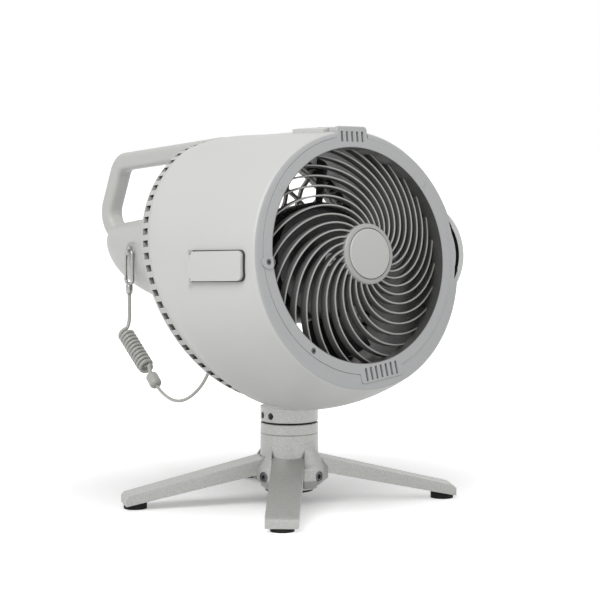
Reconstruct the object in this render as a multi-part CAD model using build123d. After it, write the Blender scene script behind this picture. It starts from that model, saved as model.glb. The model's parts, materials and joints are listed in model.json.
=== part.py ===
from build123d import *
import os
from math import asin, atan2, cos, degrees, pi, radians, sin, sqrt, tan

os.makedirs("parts", exist_ok=True)

# Head: lengths in millimetres, angles in degrees
TILT = 8.5
AXIS_HEIGHT = 237.0
DRUM_REAR = -50.0
DRUM_FRONT = 112.5
DRUM_REAR_RADIUS = 134.5
DRUM_MID_RADIUS = 137.0
DRUM_FRONT_RADIUS = 124.5
DRUM_MID_DROP = 7.5
DRUM_FRONT_DROP = 5.0
DRUM_WALL = 3.0
LIP_ROUND = 4.6
LIP_DEPTH = 11.5
OPENING_RADIUS = 103.5
SEAM_RADIUS = 114.0
SEAM_GAP = 0.25
RING_PROUD = 0.5
TOP_TAB_RADIUS = 124.0
BOTTOM_TAB_RADIUS = 121.0
TOP_TAB_ANGLE = 88.0
BOTTOM_TAB_ANGLE = 277.0
SLOT_WIDTH = 2.6
SLOT_DEPTH = 6.0
LUG_REACH = 134.0
LUG_RADIUS = 48.0

# Front grille
VANES = 28
VANE_THICK = 1.7
VANE_DEPTH = 8.0
VANE_SWEEP = 120.0
VANE_STEPS = 12
HUB_RADIUS = 29.0
HUB_RISE = 16.0
CAP_RADIUS = 24.0
GRILLE_RIM_THICK = 3.6

# Rear grille
RIM_DEPTH = 12.0
RIM_ROUND = 9.5
RIM_INNER_RADIUS = 112.0
RIM_SLOTS = 72
RIM_SLOT_WIDTH = 6.2
RIM_SLOT_FOOT = 117.0
BARS = 36
BAR_WIDTH = 2.6
BAR_DEPTH = 4.0
CENTRE_RADIUS = 72.0

# Duct, motor and rotor
DUCT_RADIUS = 106.0
DUCT_WALL = 2.0
ROTOR_HUB_RADIUS = 58.0
ROTOR_REAR = 6.0
ROTOR_FRONT = 62.0
BLADE_TIP_RADIUS = 101.0
BLADES = 5
ROTOR_TURN = -18.0
SHAFT_RADIUS = 4.0
RUNNING_GAP = 0.04
MOTOR_RADIUS = 40.0
MOTOR_FRONT = -5.0

# Handle and rear housing
HOUSING_WALL = 3.0
HANDLE_WIDTH = 20.0
HANDLE_HEIGHT = 19.0
HANDLE_ROUND = 6.0
HANDLE_CORNER = 22.0
HANDLE_REACH = 322.0
EYE_S = -226.0
EYE_X = -40.0
EYE_UP = 40.0

# Lanyard
CORD_RADIUS = 1.3
CORD_SIDES = 6
COIL_RADIUS = 6.1
COIL_TURNS = 10
HOOK_WIRE = 1.2
HOOK_WIDTH = 13.0
HOOK_LENGTH = 35.0
HOOK_CORNER = 4.5

# Port cover
COVER_REAR = 27.0
COVER_FRONT = 100.0
COVER_HEIGHT = 28.0
COVER_THICK = 4.2
COVER_GAP = 0.5
COVER_TURN = 5.0
COVER_PIN_RADIUS = 1.0

# Stand
COLUMN_RADIUS = 29.0
BASE_BOTTOM = 15.0
SEAM_LOW = 70.3
RING_TOP = 80.8
COLLAR_BOTTOM = 82.4
SPINDLE_RADIUS = 12.0
SPINDLE_TOP = 98.0
CAVITY_RADIUS = 18.0
CAVITY_TOP = 56.0
LOBE_RADIUS = 40.5
LEG_WIDTH = 32.0
LEG_SIDE_GAP = 0.3
LEG_REACH = 168.0
LEG_TOP = 47.0
LEG_STOP_GAP = 0.5
TIP_TOP = 14.5
TIP_BOTTOM = 4.0
TIP_CHAMFER = 3.0
PIN_DISTANCE = 31.0
PIN_HEIGHT = 36.0
PIN_RADIUS = 2.0
EYE_RADIUS = 4.4
FOOT_DISTANCE = 156.4
FOOT_RADIUS = 11.5
LEG_ANGLES = {"right": 331.0, "rear": 68.5, "left": 156.5, "front": 230.4}

# Where the column stands, so that the origin is under the middle of the whole
LEG_CORNER = sqrt(LEG_REACH**2 + (LEG_WIDTH / 2) ** 2)
CORNER_TURN = degrees(atan2(LEG_WIDTH / 2, LEG_REACH))
LOW_X = LEG_CORNER * cos(radians(LEG_ANGLES["left"] + CORNER_TURN))
HIGH_X = LEG_CORNER * cos(radians(LEG_ANGLES["right"] + CORNER_TURN))
LOW_Y = LEG_CORNER * sin(radians(LEG_ANGLES["front"] + CORNER_TURN))
HIGH_Y = (HANDLE_REACH + 3.2) * cos(radians(TILT)) + 88.0 * sin(radians(TILT))
COLUMN_X = -(LOW_X + HIGH_X) / 2
COLUMN_Y = -(LOW_Y + HIGH_Y) / 2

# The head's own frame has x to the right, y up and z forward along the fan's axis
COLUMN = Pos(COLUMN_X, COLUMN_Y, 0)
FORWARD = Location(Plane(origin=(0, 0, 0), x_dir=(1, 0, 0), z_dir=(0, -1, 0)))
HEAD = Pos(COLUMN_X, COLUMN_Y, AXIS_HEIGHT) * Rot(-TILT, 0, 0) * FORWARD

parts = {}


def turned(points):
    """A closed outline of (radius, height) points, turned about Z."""
    return revolve(Plane.XZ * make_face(Polyline(*points, close=True)), Axis.Z)


def tube(outer, inner, low, high):
    """A round tube from one height to another."""
    return turned([(inner, low), (outer, low), (outer, high), (inner, high)])


def rod(radius, low, high):
    """A round bar along Z."""
    return Pos(0, 0, (low + high) / 2) * Cylinder(radius, high - low)


def slab(size_x, size_y, low, high):
    """A box on the Z axis between two heights."""
    return Pos(0, 0, (low + high) / 2) * Box(size_x, size_y, high - low)


def shank(radius, low, high):
    """A plain six-sided shank inside a round hole."""
    return Pos(0, 0, low) * extrude(RegularPolygon(radius, 6), high - low)


def joined(shapes):
    """One fuse of many shapes."""
    first, *rest = shapes
    return first.fuse(*rest)


def single(shape):
    """The largest solid of a cut, without chips."""
    return max(shape.solids(), key=lambda solid: solid.volume)


# Drum
MID = (DRUM_REAR + DRUM_FRONT) / 2


def drum(extra, beyond=0.0):
    """The drum's outer form, larger or smaller by one wall, longer at the rear where asked."""
    return loft(
        [
            Pos(0, 0, DRUM_REAR - beyond) * Circle(DRUM_REAR_RADIUS + extra),
            Pos(0, -DRUM_MID_DROP, MID) * Circle(DRUM_MID_RADIUS + extra),
            Pos(0, -DRUM_FRONT_DROP, DRUM_FRONT) * Circle(DRUM_FRONT_RADIUS + extra),
        ]
    )


def tab(angle, width, reach):
    """A tab of the front ring, out from its seam."""
    return Rot(0, 0, angle) * Pos((reach + OPENING_RADIUS + 3) / 2, 0) * RectangleRounded(
        reach - OPENING_RADIUS - 3, width, 4
    )


def ring_outline(gap):
    """The front ring's outline with its two slotted tabs."""
    return (
        Circle(SEAM_RADIUS + gap)
        + tab(TOP_TAB_ANGLE, 38 + 2 * gap, TOP_TAB_RADIUS + gap)
        + tab(BOTTOM_TAB_ANGLE, 52 + 2 * gap, BOTTOM_TAB_RADIUS + gap)
    )


drum_outer = drum(0)
front_edge = drum_outer.edges().sort_by(Axis.Z)[-1]
drum_form = fillet(front_edge, LIP_ROUND)
lip_floor = DRUM_FRONT - LIP_DEPTH
cavity = drum(-DRUM_WALL, 4.0) & slab(400, 400, DRUM_REAR - 10, lip_floor)
lug_face = Pos(LUG_REACH - LUG_RADIUS, 0) * Circle(LUG_RADIUS) - Circle(SEAM_RADIUS + 5)
lug = Pos(0, 0, DRUM_FRONT - 24) * extrude(lug_face, 22)
crescent_face = (
    Pos(LUG_REACH - LUG_RADIUS, 0) * Circle(LUG_RADIUS - 6)
    - Pos(LUG_REACH - LUG_RADIUS - 9, 0) * Circle(LUG_RADIUS - 3)
    - Circle(SEAM_RADIUS + 6)
)
crescent = Pos(0, 0, DRUM_FRONT - 18) * extrude(crescent_face, 30)
shell = single(drum_form - cavity) + single(lug)
shell = shell - crescent
shell = shell - Pos(0, 0, lip_floor - 1) * extrude(ring_outline(SEAM_GAP), LIP_DEPTH + 6)

# Port cover on the side, with its opening, ears and pin
COVER_MID = (COVER_REAR + COVER_FRONT) / 2
COVER_LENGTH = COVER_FRONT - COVER_REAR
SIDE = Location(Plane(origin=(0, 0, 0), x_dir=(0, 0, 1), z_dir=(-1, 0, 0)))
TURN = Pos(0, 0, COVER_MID) * Rot(COVER_TURN, 0, 0) * Pos(0, 0, -COVER_MID)
cover_block = TURN * SIDE * Pos(COVER_MID, 0, 90) * extrude(RectangleRounded(COVER_LENGTH, COVER_HEIGHT, 6), 60)
cover_body = (drum(COVER_GAP + COVER_THICK) - drum(COVER_GAP)) & cover_block
span = (COVER_REAR - DRUM_REAR) / (MID - DRUM_REAR)
pin_x = -(DRUM_REAR_RADIUS + (DRUM_MID_RADIUS - DRUM_REAR_RADIUS) * min(span * 1.25, 1.0)) - COVER_GAP - 2.2
pin_s = COVER_REAR + 1.0
knuckle = TURN * Pos(pin_x, 0, pin_s) * Rot(90, 0, 0) * Cylinder(2.2, COVER_HEIGHT - 6)
pin_bore = TURN * Pos(pin_x, 0, pin_s) * Rot(90, 0, 0) * Cylinder(COVER_PIN_RADIUS + RUNNING_GAP, COVER_HEIGHT + 40)
end_clear = TURN * Pos(pin_x, 0, pin_s - 2.4) * Box(30, COVER_HEIGHT + 4, 4.8)
thumb = TURN * Pos(-DRUM_MID_RADIUS - 6, 0, COVER_FRONT + 3.5) * Rot(0, 90, 0) * Cylinder(10.5, 14)
ear_low = COVER_HEIGHT / 2 - 2.4
corners = [TURN * Pos(pin_x, side * (ear_low + 4.8), pin_s) * Box(30, 10, 7.2) for side in (-1, 1)]
cover = single(cover_body - end_clear - corners) + knuckle
cover = cover - pin_bore - thumb
parts["port_cover"] = HEAD * single(cover)
ears = []
for side in (-1, 1):
    block = TURN * Pos(pin_x + 3, side * (ear_low + 2.2), pin_s) * Box(10.4, 3.6, 5.2)
    ears.append(block - drum(-1.0))
shell = joined([shell] + ears)
shell = shell - TURN * Pos(pin_x, 0, pin_s) * Rot(90, 0, 0) * Cylinder(COVER_PIN_RADIUS, COVER_HEIGHT + 40)
PORT_LENGTH = COVER_LENGTH - 22
PORT_HEIGHT = COVER_HEIGHT - 9
port_cut = TURN * SIDE * Pos(COVER_MID + 3, 0, 100) * extrude(RectangleRounded(PORT_LENGTH, PORT_HEIGHT, 3), 60)
shell = shell - port_cut
parts["drum_shell"] = HEAD * single(shell)
parts["cover_pin"] = HEAD * TURN * Pos(pin_x, 0, pin_s) * Rot(90, 0, 0) * Cylinder(COVER_PIN_RADIUS, COVER_HEIGHT + 2.6)
board_x = -(DUCT_RADIUS + DUCT_WALL + 9.0)
panel_block = TURN * SIDE * Pos(COVER_MID + 3, 0, -board_x + 1.6) * extrude(
    RectangleRounded(PORT_LENGTH - 0.4, PORT_HEIGHT - 0.4, 2.8), 30
)
panel = panel_block & drum(-1.0)
for offset_s, width, height in ((-14, 9.2, 3.4), (2, 12.4, 5.0)):
    panel = panel - TURN * SIDE * Pos(COVER_MID + 3 + offset_s, 0, DRUM_MID_RADIUS - 12) * extrude(
        RectangleRounded(width, height, 1.6), 30
    )
panel = panel - TURN * SIDE * Pos(COVER_MID + 20, 0, DRUM_MID_RADIUS - 12) * extrude(Circle(3.2), 30)
parts["port_panel"] = HEAD * single(panel)
parts["control_board"] = HEAD * TURN * SIDE * Pos(COVER_MID + 3, 0, -board_x + 0.75) * Box(PORT_LENGTH + 8, 40, 1.6)

# Pad on the top with its push button
pad_block = Pos(0, DRUM_MID_RADIUS, 75) * Box(40, 60, 48)
pad_form = (drum(3.4) - drum(0.05)) & pad_block
button_well = Pos(0, DRUM_MID_RADIUS, 78) * Rot(90, 0, 0) * Cylinder(8.2, 60)
parts["top_pad"] = HEAD * single(pad_form - button_well)
button_form = (drum(3.6) - drum(1.6)) & (Pos(0, DRUM_MID_RADIUS, 78) * Rot(90, 0, 0) * Cylinder(7.8, 60))
parts["power_button"] = HEAD * single(button_form)

# Front ring
ring_back = lip_floor + 0.2
ring_face = DRUM_FRONT + RING_PROUD
ring = Pos(0, 0, ring_back) * extrude(ring_outline(0) - Circle(OPENING_RADIUS), ring_face - ring_back)
ring = chamfer(ring.edges().filter_by(GeomType.CIRCLE).group_by(Axis.Z)[-1].sort_by(SortBy.RADIUS)[:1], 1.2)
slots = []
for middle, count, low in ((TOP_TAB_ANGLE, 5, 109.0), (BOTTOM_TAB_ANGLE, 7, 106.5)):
    for index in range(count):
        shift = (index - (count - 1) / 2) * 6.2
        slot = Pos((low + 119.0) / 2, shift, ring_face) * Box(119.0 - low, SLOT_WIDTH, 2 * SLOT_DEPTH)
        slots.append(Rot(0, 0, middle) * slot)
boss_angle = 181.0
screw_angles = (boss_angle, 233.0, 37.0, 143.0)
screw_distance = (OPENING_RADIUS + SEAM_RADIUS) / 2 + 0.6
boss = Rot(0, 0, boss_angle) * Pos(screw_distance, 0, ring_face - 0.2) * extrude(Ellipse(7.5, 6.2), 1.4)
ring = joined([ring, boss])
ring = ring - slots
screws = []
for angle in screw_angles:
    top = ring_face + (1.2 if angle == boss_angle else 0)
    at = Rot(0, 0, angle) * Pos(screw_distance, 0, 0)
    ring = ring - at * rod(2.9, top - 2.4, top + 5) - at * rod(1.5, ring_back - 5, top)
    screws.append(at * (rod(2.7, top - 2.4, top - 0.4) + shank(1.5, ring_back, top - 1.9)))
parts["front_ring"] = HEAD * single(ring)
parts["ring_screws"] = Compound(children=[single(HEAD * screw) for screw in screws])

# Front grille: spiral vanes cut to a dome
rim_front = lip_floor
rim_back = rim_front - GRILLE_RIM_THICK
hub_front = ring_face + HUB_RISE
vane_hub = hub_front - 3.0
rise = vane_hub - rim_front
edge_radius = OPENING_RADIUS
dome_middle = ((vane_hub**2 - rim_front**2) - (edge_radius**2 - HUB_RADIUS**2)) / (2 * rise)
dome_radius = sqrt((vane_hub - dome_middle) ** 2 + HUB_RADIUS**2)


def polar(radius, angle):
    return (radius * cos(radians(angle)), radius * sin(radians(angle)))


def vane_section(share):
    """The vane's section at one share of its spiral, square to the dome."""
    inner = HUB_RADIUS - 2
    growth = edge_radius + 0.8 - inner
    distance = inner + growth * share
    turn = radians(VANE_SWEEP) * share
    slope = atan2(distance * radians(VANE_SWEEP), growth)
    at = Vector(distance * cos(turn), distance * sin(turn))
    aside = Vector(-sin(turn + slope), cos(turn + slope)) * (VANE_THICK / 2)
    front = dome_middle + sqrt(dome_radius**2 - min(distance, edge_radius) ** 2)
    inward = Vector(at.X, at.Y, front - dome_middle).normalized() * VANE_DEPTH
    first = Vector(at.X, at.Y, front)
    corners = [first + aside, first - aside, first - aside - inward, first + aside - inward]
    return make_face(Polyline(*corners, close=True))


vane = loft([vane_section(step / VANE_STEPS) for step in range(VANE_STEPS + 1)], ruled=True)
grille_rim = tube(SEAM_RADIUS - 0.6, OPENING_RADIUS, rim_back, rim_front)
hub = rod(HUB_RADIUS, vane_hub - VANE_DEPTH - 0.6, hub_front - 1.2)
hub = chamfer(hub.edges().group_by(Axis.Z)[-1], 1.2)
hub = hub - rod(CAP_RADIUS + 0.8, hub_front - 3.4, hub_front)
vanes = [Rot(0, 0, 360 * index / VANES) * vane for index in range(VANES)]
parts["front_grille"] = HEAD * joined([grille_rim, hub] + vanes)
cap = rod(CAP_RADIUS, hub_front - 3.4, hub_front)
cap = fillet(cap.edges().group_by(Axis.Z)[-1], 1.4)
parts["hub_cap"] = HEAD * cap

# Air duct behind the grille
parts["air_duct"] = HEAD * tube(DUCT_RADIUS + DUCT_WALL, DUCT_RADIUS, DRUM_REAR + 6, rim_back - 0.1)

# Rear grille: a rim with slots that wrap over the edge, bars and a middle plate
rim_rear = DRUM_REAR - RIM_DEPTH
rim_low = DRUM_REAR - 0.1
rim_lines = [
    Line((RIM_INNER_RADIUS, rim_low), (DRUM_REAR_RADIUS, rim_low)),
    Line((DRUM_REAR_RADIUS, rim_low), (DRUM_REAR_RADIUS, rim_rear + RIM_ROUND)),
    Line((DRUM_REAR_RADIUS, rim_rear + RIM_ROUND), (DRUM_REAR_RADIUS - RIM_ROUND * 0.3, rim_rear + RIM_ROUND * 0.3)),
    Line((DRUM_REAR_RADIUS - RIM_ROUND * 0.3, rim_rear + RIM_ROUND * 0.3), (DRUM_REAR_RADIUS - RIM_ROUND, rim_rear)),
    Line((DRUM_REAR_RADIUS - RIM_ROUND, rim_rear), (RIM_INNER_RADIUS, rim_rear)),
    Line((RIM_INNER_RADIUS, rim_rear), (RIM_INNER_RADIUS, rim_low)),
]
rim_form = revolve(Plane.XZ * make_face(rim_lines), Axis.Z)
slot_length = DRUM_REAR_RADIUS + 6 - RIM_SLOT_FOOT
slot_cut = Pos(RIM_SLOT_FOOT + slot_length / 2, 0, rim_rear) * Box(slot_length, RIM_SLOT_WIDTH, 2 * RIM_DEPTH - 4.4)
rim = rim_form - [Rot(0, 0, 360 * (index + 0.5) / RIM_SLOTS) * slot_cut for index in range(RIM_SLOTS)]
bar_low = rim_rear
bar_high = rim_rear + BAR_DEPTH
bar_length = RIM_INNER_RADIUS + 2 - CENTRE_RADIUS + 2
bar = Pos(CENTRE_RADIUS - 2 + bar_length / 2, 0, (bar_low + bar_high) / 2) * Box(bar_length, BAR_WIDTH, BAR_DEPTH)
strut = Pos(0, CENTRE_RADIUS - 2 + bar_length / 2, (bar_low + bar_high) / 2 + 1.5) * Box(9, bar_length, BAR_DEPTH + 3)
bars = [Rot(0, 0, 360 * (index + 0.5) / BARS) * bar for index in range(BARS)]
bands = [tube(radius + 1.3, radius - 1.3, bar_low, bar_high) for radius in (92.0,)]
plate = rod(CENTRE_RADIUS, rim_rear, rim_rear + 4)
parts["rear_grille"] = HEAD * joined([rim, plate, strut] + bars + bands)

# Motor on the middle plate, with shaft and rotor
mount_low = rim_rear + 4
mount_high = mount_low + 4
bearing_radius = 9.0
mount = tube(56.0, bearing_radius, mount_low, mount_high)
parts["motor_mount"] = HEAD * mount
can = turned(
    [
        (MOTOR_RADIUS - 2, mount_high),
        (MOTOR_RADIUS, mount_high),
        (MOTOR_RADIUS, MOTOR_FRONT),
        (bearing_radius, MOTOR_FRONT),
        (bearing_radius, MOTOR_FRONT - 5),
        (MOTOR_RADIUS - 2, MOTOR_FRONT - 5),
    ]
)
parts["motor_can"] = HEAD * can
parts["bearing_front"] = HEAD * tube(bearing_radius, SHAFT_RADIUS + RUNNING_GAP, MOTOR_FRONT - 5, MOTOR_FRONT)
parts["bearing_rear"] = HEAD * tube(bearing_radius, SHAFT_RADIUS + RUNNING_GAP, mount_low + 0.1, mount_high)
parts["stator"] = HEAD * tube(MOTOR_RADIUS - 2, 23.0, mount_high + 8, MOTOR_FRONT - 12)
parts["magnet_rotor"] = HEAD * tube(22.4, SHAFT_RADIUS, mount_high + 9, MOTOR_FRONT - 13)
parts["motor_shaft"] = HEAD * rod(SHAFT_RADIUS, mount_low + 0.4, ROTOR_FRONT + 3)
cup_wall = 2.6
cup = turned(
    [
        (SHAFT_RADIUS, ROTOR_FRONT - 24),
        (10.0, ROTOR_FRONT - 24),
        (10.0, ROTOR_FRONT - 4),
        (ROTOR_HUB_RADIUS - cup_wall, ROTOR_FRONT - 4 - 7),
        (ROTOR_HUB_RADIUS - cup_wall, ROTOR_REAR),
        (ROTOR_HUB_RADIUS, ROTOR_REAR),
        (ROTOR_HUB_RADIUS, ROTOR_FRONT - 8),
        (ROTOR_HUB_RADIUS - 6, ROTOR_FRONT - 2),
        (ROTOR_HUB_RADIUS - 12, ROTOR_FRONT),
        (SHAFT_RADIUS, ROTOR_FRONT),
    ]
)
blade_mid = (ROTOR_REAR + ROTOR_FRONT) / 2 - 3


def blade_section(distance, chord, pitch, camber, thick):
    """A curved strip across the blade at one distance from the axis."""
    half = chord / 2
    lines = [
        ThreePointArc((-half, 0), (0, camber), (half, 0)),
        Line((half, 0), (half, -thick)),
        ThreePointArc((half, -thick), (0, camber - thick), (-half, -thick)),
        Line((-half, -thick), (-half, 0)),
    ]
    plane = Plane(origin=(distance, 0, blade_mid), x_dir=(0, 1, 0), z_dir=(1, 0, 0))
    return plane * Rot(0, 0, pitch) * make_face(lines)


blade = loft(
    [
        blade_section(48.0, 46.0, 38.0, 4.5, 2.6),
        blade_section(78.0, 54.0, 31.0, 5.5, 2.4),
        blade_section(BLADE_TIP_RADIUS + 6, 62.0, 25.0, 6.0, 2.2),
    ]
)
blade = blade & tube(BLADE_TIP_RADIUS, ROTOR_HUB_RADIUS - 1.2, ROTOR_REAR - 6, ROTOR_FRONT + 6)
blades = [Rot(0, 0, ROTOR_TURN + 360 * index / BLADES) * single(blade) for index in range(BLADES)]
parts["fan_rotor"] = HEAD * joined([cup] + blades)
nut = extrude(RegularPolygon(7.0, 6), 5) - rod(SHAFT_RADIUS, -1, 6)
parts["rotor_nut"] = HEAD * Pos(0, 0, ROTOR_FRONT) * nut

# Rear housing with its carrying handle
HOUSING_START = -62.1
HOUSING_LENGTH = HANDLE_REACH - 76.1
SECTIONS = [
    (HOUSING_START - share * HOUSING_LENGTH, up, width, height)
    for share, up, width, height in (
        (0.0, 0.0, CENTRE_RADIUS, CENTRE_RADIUS),
        (0.357, 19.0, 52.0, 56.0),
        (0.642, 29.0, 37.0, 45.0),
        (0.845, 39.0, 28.0, 35.0),
        (1.0, 52.0, 15.0, 21.0),
    )
]
housing = loft([Pos(0, up, s) * Ellipse(width, height) for s, up, width, height in SECTIONS])
handle_path = FilletPolyline(
    (0, 129, -30), (0, 140, -HANDLE_REACH + 38), (0, 82, -HANDLE_REACH), (0, 40, -HANDLE_REACH + 42),
    radius=HANDLE_CORNER,
)
start = Plane(origin=handle_path @ 0, x_dir=(1, 0, 0), z_dir=handle_path % 0)
handle = sweep(start * RectangleRounded(HANDLE_WIDTH, HANDLE_HEIGHT, HANDLE_ROUND), path=handle_path)
eye_tab = Pos(EYE_X + 4, EYE_UP, EYE_S) * Box(18, 15, 4.6)
eye_tab = fillet(eye_tab.edges().filter_by(Axis.Z).group_by(Axis.X)[0], 7.0)
eye_hole = Pos(EYE_X, EYE_UP, EYE_S) * Cylinder(3.4, 12)
rim_clear = turned(
    [
        (60, rim_rear - 0.1),
        (DRUM_REAR_RADIUS - RIM_ROUND + 0.1, rim_rear - 0.1),
        (DRUM_REAR_RADIUS - RIM_ROUND * 0.3 + 0.1, rim_rear + RIM_ROUND * 0.3 - 0.1),
        (DRUM_REAR_RADIUS + 0.1, rim_rear + RIM_ROUND - 0.1),
        (DRUM_REAR_RADIUS + 0.1, 0),
        (60, 0),
    ]
)
rear = joined([housing, handle, eye_tab]) - eye_hole
inside = loft(
    [
        Pos(0, 0, rim_rear + 4) * Ellipse(CENTRE_RADIUS - 2 * HOUSING_WALL, CENTRE_RADIUS - 2 * HOUSING_WALL),
        Pos(0, 31, -222) * Ellipse(37 - HOUSING_WALL - 1.5, 45 - HOUSING_WALL - 2),
    ],
    ruled=True,
)
rear = rear - inside - rim_clear - drum(0.1)
parts["rear_housing"] = HEAD * single(rear)

# Battery in the housing
cell_radius = 9.2
pitch = 18.6
cells = []
for row in (-0.5, 0.5):
    for column in range(3):
        at = Pos(0, row * pitch, rim_rear - 2.2 - cell_radius - column * pitch)
        cells.append(at * Rot(0, 90, 0) * extrude(RegularPolygon(cell_radius, 12), 65 / 2, both=True))
parts["battery_cells"] = Compound(children=[single(HEAD * cell) for cell in cells])
tray = slab(69.2, 2 * pitch + 3.6, rim_rear - 2.4 - 3 * pitch - 1.6, rim_rear - 0.2)
tray = tray - slab(65.4, 2 * pitch, rim_rear - 2.4 - 3 * pitch, rim_rear + 1)
parts["battery_tray"] = HEAD * tray

# Column base with four lobes for the leg pins
pocket_face = PIN_DISTANCE - EYE_RADIUS - 0.5
lobes = turned(
    [
        (0, BASE_BOTTOM),
        (LOBE_RADIUS - 13, BASE_BOTTOM),
        (LOBE_RADIUS, BASE_BOTTOM + 11),
        (LOBE_RADIUS - 0.6, PIN_HEIGHT + 1),
        (LOBE_RADIUS - 4, PIN_HEIGHT + 6),
        (COLUMN_RADIUS, PIN_HEIGHT + 19),
        (0, PIN_HEIGHT + 19),
    ]
)
core = rod(COLUMN_RADIUS, BASE_BOTTOM, SEAM_LOW)
core = chamfer(core.edges().group_by(Axis.Z)[-1], 0.5)
channels = []
pockets = []
pin_cuts = []
for angle in LEG_ANGLES.values():
    channel = Pos(40, 0, 40) * Box(80, LEG_WIDTH + 2 * LEG_SIDE_GAP, 90)
    channels.append(Rot(0, 0, angle) * channel)
    pocket_top = PIN_HEIGHT + EYE_RADIUS + 0.6
    pocket = Pos(pocket_face + 20, 0, pocket_top - 20) * Box(40, LEG_WIDTH + 2 * LEG_SIDE_GAP, 40)
    pockets.append(Rot(0, 0, angle) * pocket)
    pin_at = Rot(0, 0, angle) * Pos(PIN_DISTANCE, 0, PIN_HEIGHT) * Rot(90, 0, 0)
    pin_length = LEG_WIDTH + 2 * LEG_SIDE_GAP + 6.4
    pin_cuts.append(pin_at * Cylinder(PIN_RADIUS, pin_length))
base = joined([core - pockets, lobes - channels])
base = base - pin_cuts - rod(CAVITY_RADIUS, 0, CAVITY_TOP) - rod(SPINDLE_RADIUS + 0.05, 0, 100)
angles = sorted(LEG_ANGLES.values())
middles = [(a + b) / 2 for a, b in zip(angles, angles[1:] + [angles[0] + 360])]
screw_z = BASE_BOTTOM + 14.5
base_screws = []
for angle in middles:
    at = Rot(0, 0, angle) * Pos(LOBE_RADIUS - 4, 0, screw_z) * Rot(0, 90, 0)
    base = base - at * rod(5.2, 0, 12) - at * rod(2.0, -5.2, 1)
    base_screws.append(at * (rod(4.8, 0, 3.4) + shank(2.0, -5.0, 0.5)))
base = single(base)
parts["column_base"] = COLUMN * base
parts["base_screws"] = Compound(children=[single(COLUMN * screw) for screw in base_screws])
parts["base_plate"] = COLUMN * (rod(CAVITY_RADIUS + 6, BASE_BOTTOM - 3, BASE_BOTTOM) - rod(4.0, 0, 20))
ring_form = tube(COLUMN_RADIUS, SPINDLE_RADIUS + 0.05, SEAM_LOW, RING_TOP)
outer_edges = ring_form.edges().filter_by(GeomType.CIRCLE).filter_by(lambda edge: edge.radius > COLUMN_RADIUS - 1)
parts["swivel_ring"] = COLUMN * chamfer(outer_edges, 0.5)
parts["friction_washer"] = COLUMN * tube(COLUMN_RADIUS - 2, SPINDLE_RADIUS + 0.05, RING_TOP, COLLAR_BOTTOM - 0.05)

# Collar and spindle carry the drum
drum_block = HEAD * drum(0.1)
collar_form = turned(
    [
        (SPINDLE_RADIUS, COLLAR_BOTTOM),
        (COLUMN_RADIUS - 0.5, COLLAR_BOTTOM),
        (COLUMN_RADIUS, COLLAR_BOTTOM + 0.5),
        (COLUMN_RADIUS, AXIS_HEIGHT - 100),
        (SPINDLE_RADIUS, AXIS_HEIGHT - 100),
    ]
)
collar = single(COLUMN * collar_form - drum_block)
collar_screws = []
for angle in (-13.2, 13.2, 166.8, 193.2):
    at = COLUMN * Rot(0, 0, angle) * Pos(COLUMN_RADIUS - 5, 0, COLLAR_BOTTOM + 6.4) * Rot(0, 90, 0)
    collar = collar - at * rod(3.4, 0, 20) - at * rod(1.6, -12.2, 1)
    screw = rod(3.1, 0, 2.6) + shank(1.6, -11.8, 0.5)
    collar_screws.append(single(at * screw))
parts["collar"] = single(collar)
parts["collar_screws"] = Compound(children=collar_screws)
spindle = COLUMN * rod(SPINDLE_RADIUS, CAVITY_TOP - 10, SPINDLE_TOP)
parts["swivel_spindle"] = single(spindle - drum_block)
parts["spindle_nut"] = COLUMN * tube(CAVITY_RADIUS - 1.5, SPINDLE_RADIUS, CAVITY_TOP - 6.2, CAVITY_TOP - 0.2)

# Legs with feet and pins
slope = (LEG_TOP - TIP_TOP) / (LEG_REACH - TIP_CHAMFER - COLUMN_RADIUS)
inner = COLUMN_RADIUS - 8
under = PIN_HEIGHT - EYE_RADIUS


def leg_underside(distance):
    return under + (TIP_BOTTOM - under) * (distance - PIN_DISTANCE) / (LEG_REACH - PIN_DISTANCE)


leg_points = [
    (inner, PIN_HEIGHT),
    (PIN_DISTANCE, PIN_HEIGHT),
    (PIN_DISTANCE, under),
    (LEG_REACH, TIP_BOTTOM),
    (LEG_REACH, TIP_TOP - TIP_CHAMFER),
    (LEG_REACH - TIP_CHAMFER, TIP_TOP),
    (inner, TIP_TOP + slope * (LEG_REACH - TIP_CHAMFER - inner)),
]
leg_form = extrude(Plane.XZ * make_face(Polyline(*leg_points, close=True)), LEG_WIDTH / 2, both=True)
leg_form = leg_form - rod(COLUMN_RADIUS + LEG_STOP_GAP, 0, 100)
leg_eye = Pos(PIN_DISTANCE, 0, PIN_HEIGHT) * Rot(90, 0, 0) * Cylinder(EYE_RADIUS, LEG_WIDTH)
leg_form = joined([single(leg_form), leg_eye])
leg_form = leg_form - Pos(PIN_DISTANCE, 0, PIN_HEIGHT) * Rot(90, 0, 0) * Cylinder(PIN_RADIUS + 0.05, LEG_WIDTH + 4)
leg_form = single(leg_form)
wedge = [
    (FOOT_DISTANCE - 20, 0),
    (LEG_REACH + 20, 0),
    (LEG_REACH + 20, leg_underside(LEG_REACH + 20)),
    (FOOT_DISTANCE - 20, leg_underside(FOOT_DISTANCE - 20)),
]
foot_form = extrude(Plane.XZ * make_face(Polyline(*wedge, close=True)), 30, both=True)
foot_form = foot_form & (Pos(FOOT_DISTANCE, 0, 10) * Cylinder(FOOT_RADIUS, 40))
for name, angle in LEG_ANGLES.items():
    turn = COLUMN * Rot(0, 0, angle)
    parts["leg_" + name] = turn * leg_form
    parts["foot_" + name] = turn * foot_form
    pin = Pos(PIN_DISTANCE, 0, PIN_HEIGHT) * Rot(90, 0, 0) * Cylinder(PIN_RADIUS, pin_length)
    parts["pin_" + name] = turn * pin

# Lanyard: hook in the housing's eye, curled cord and loose end in a slot of the rim


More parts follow.
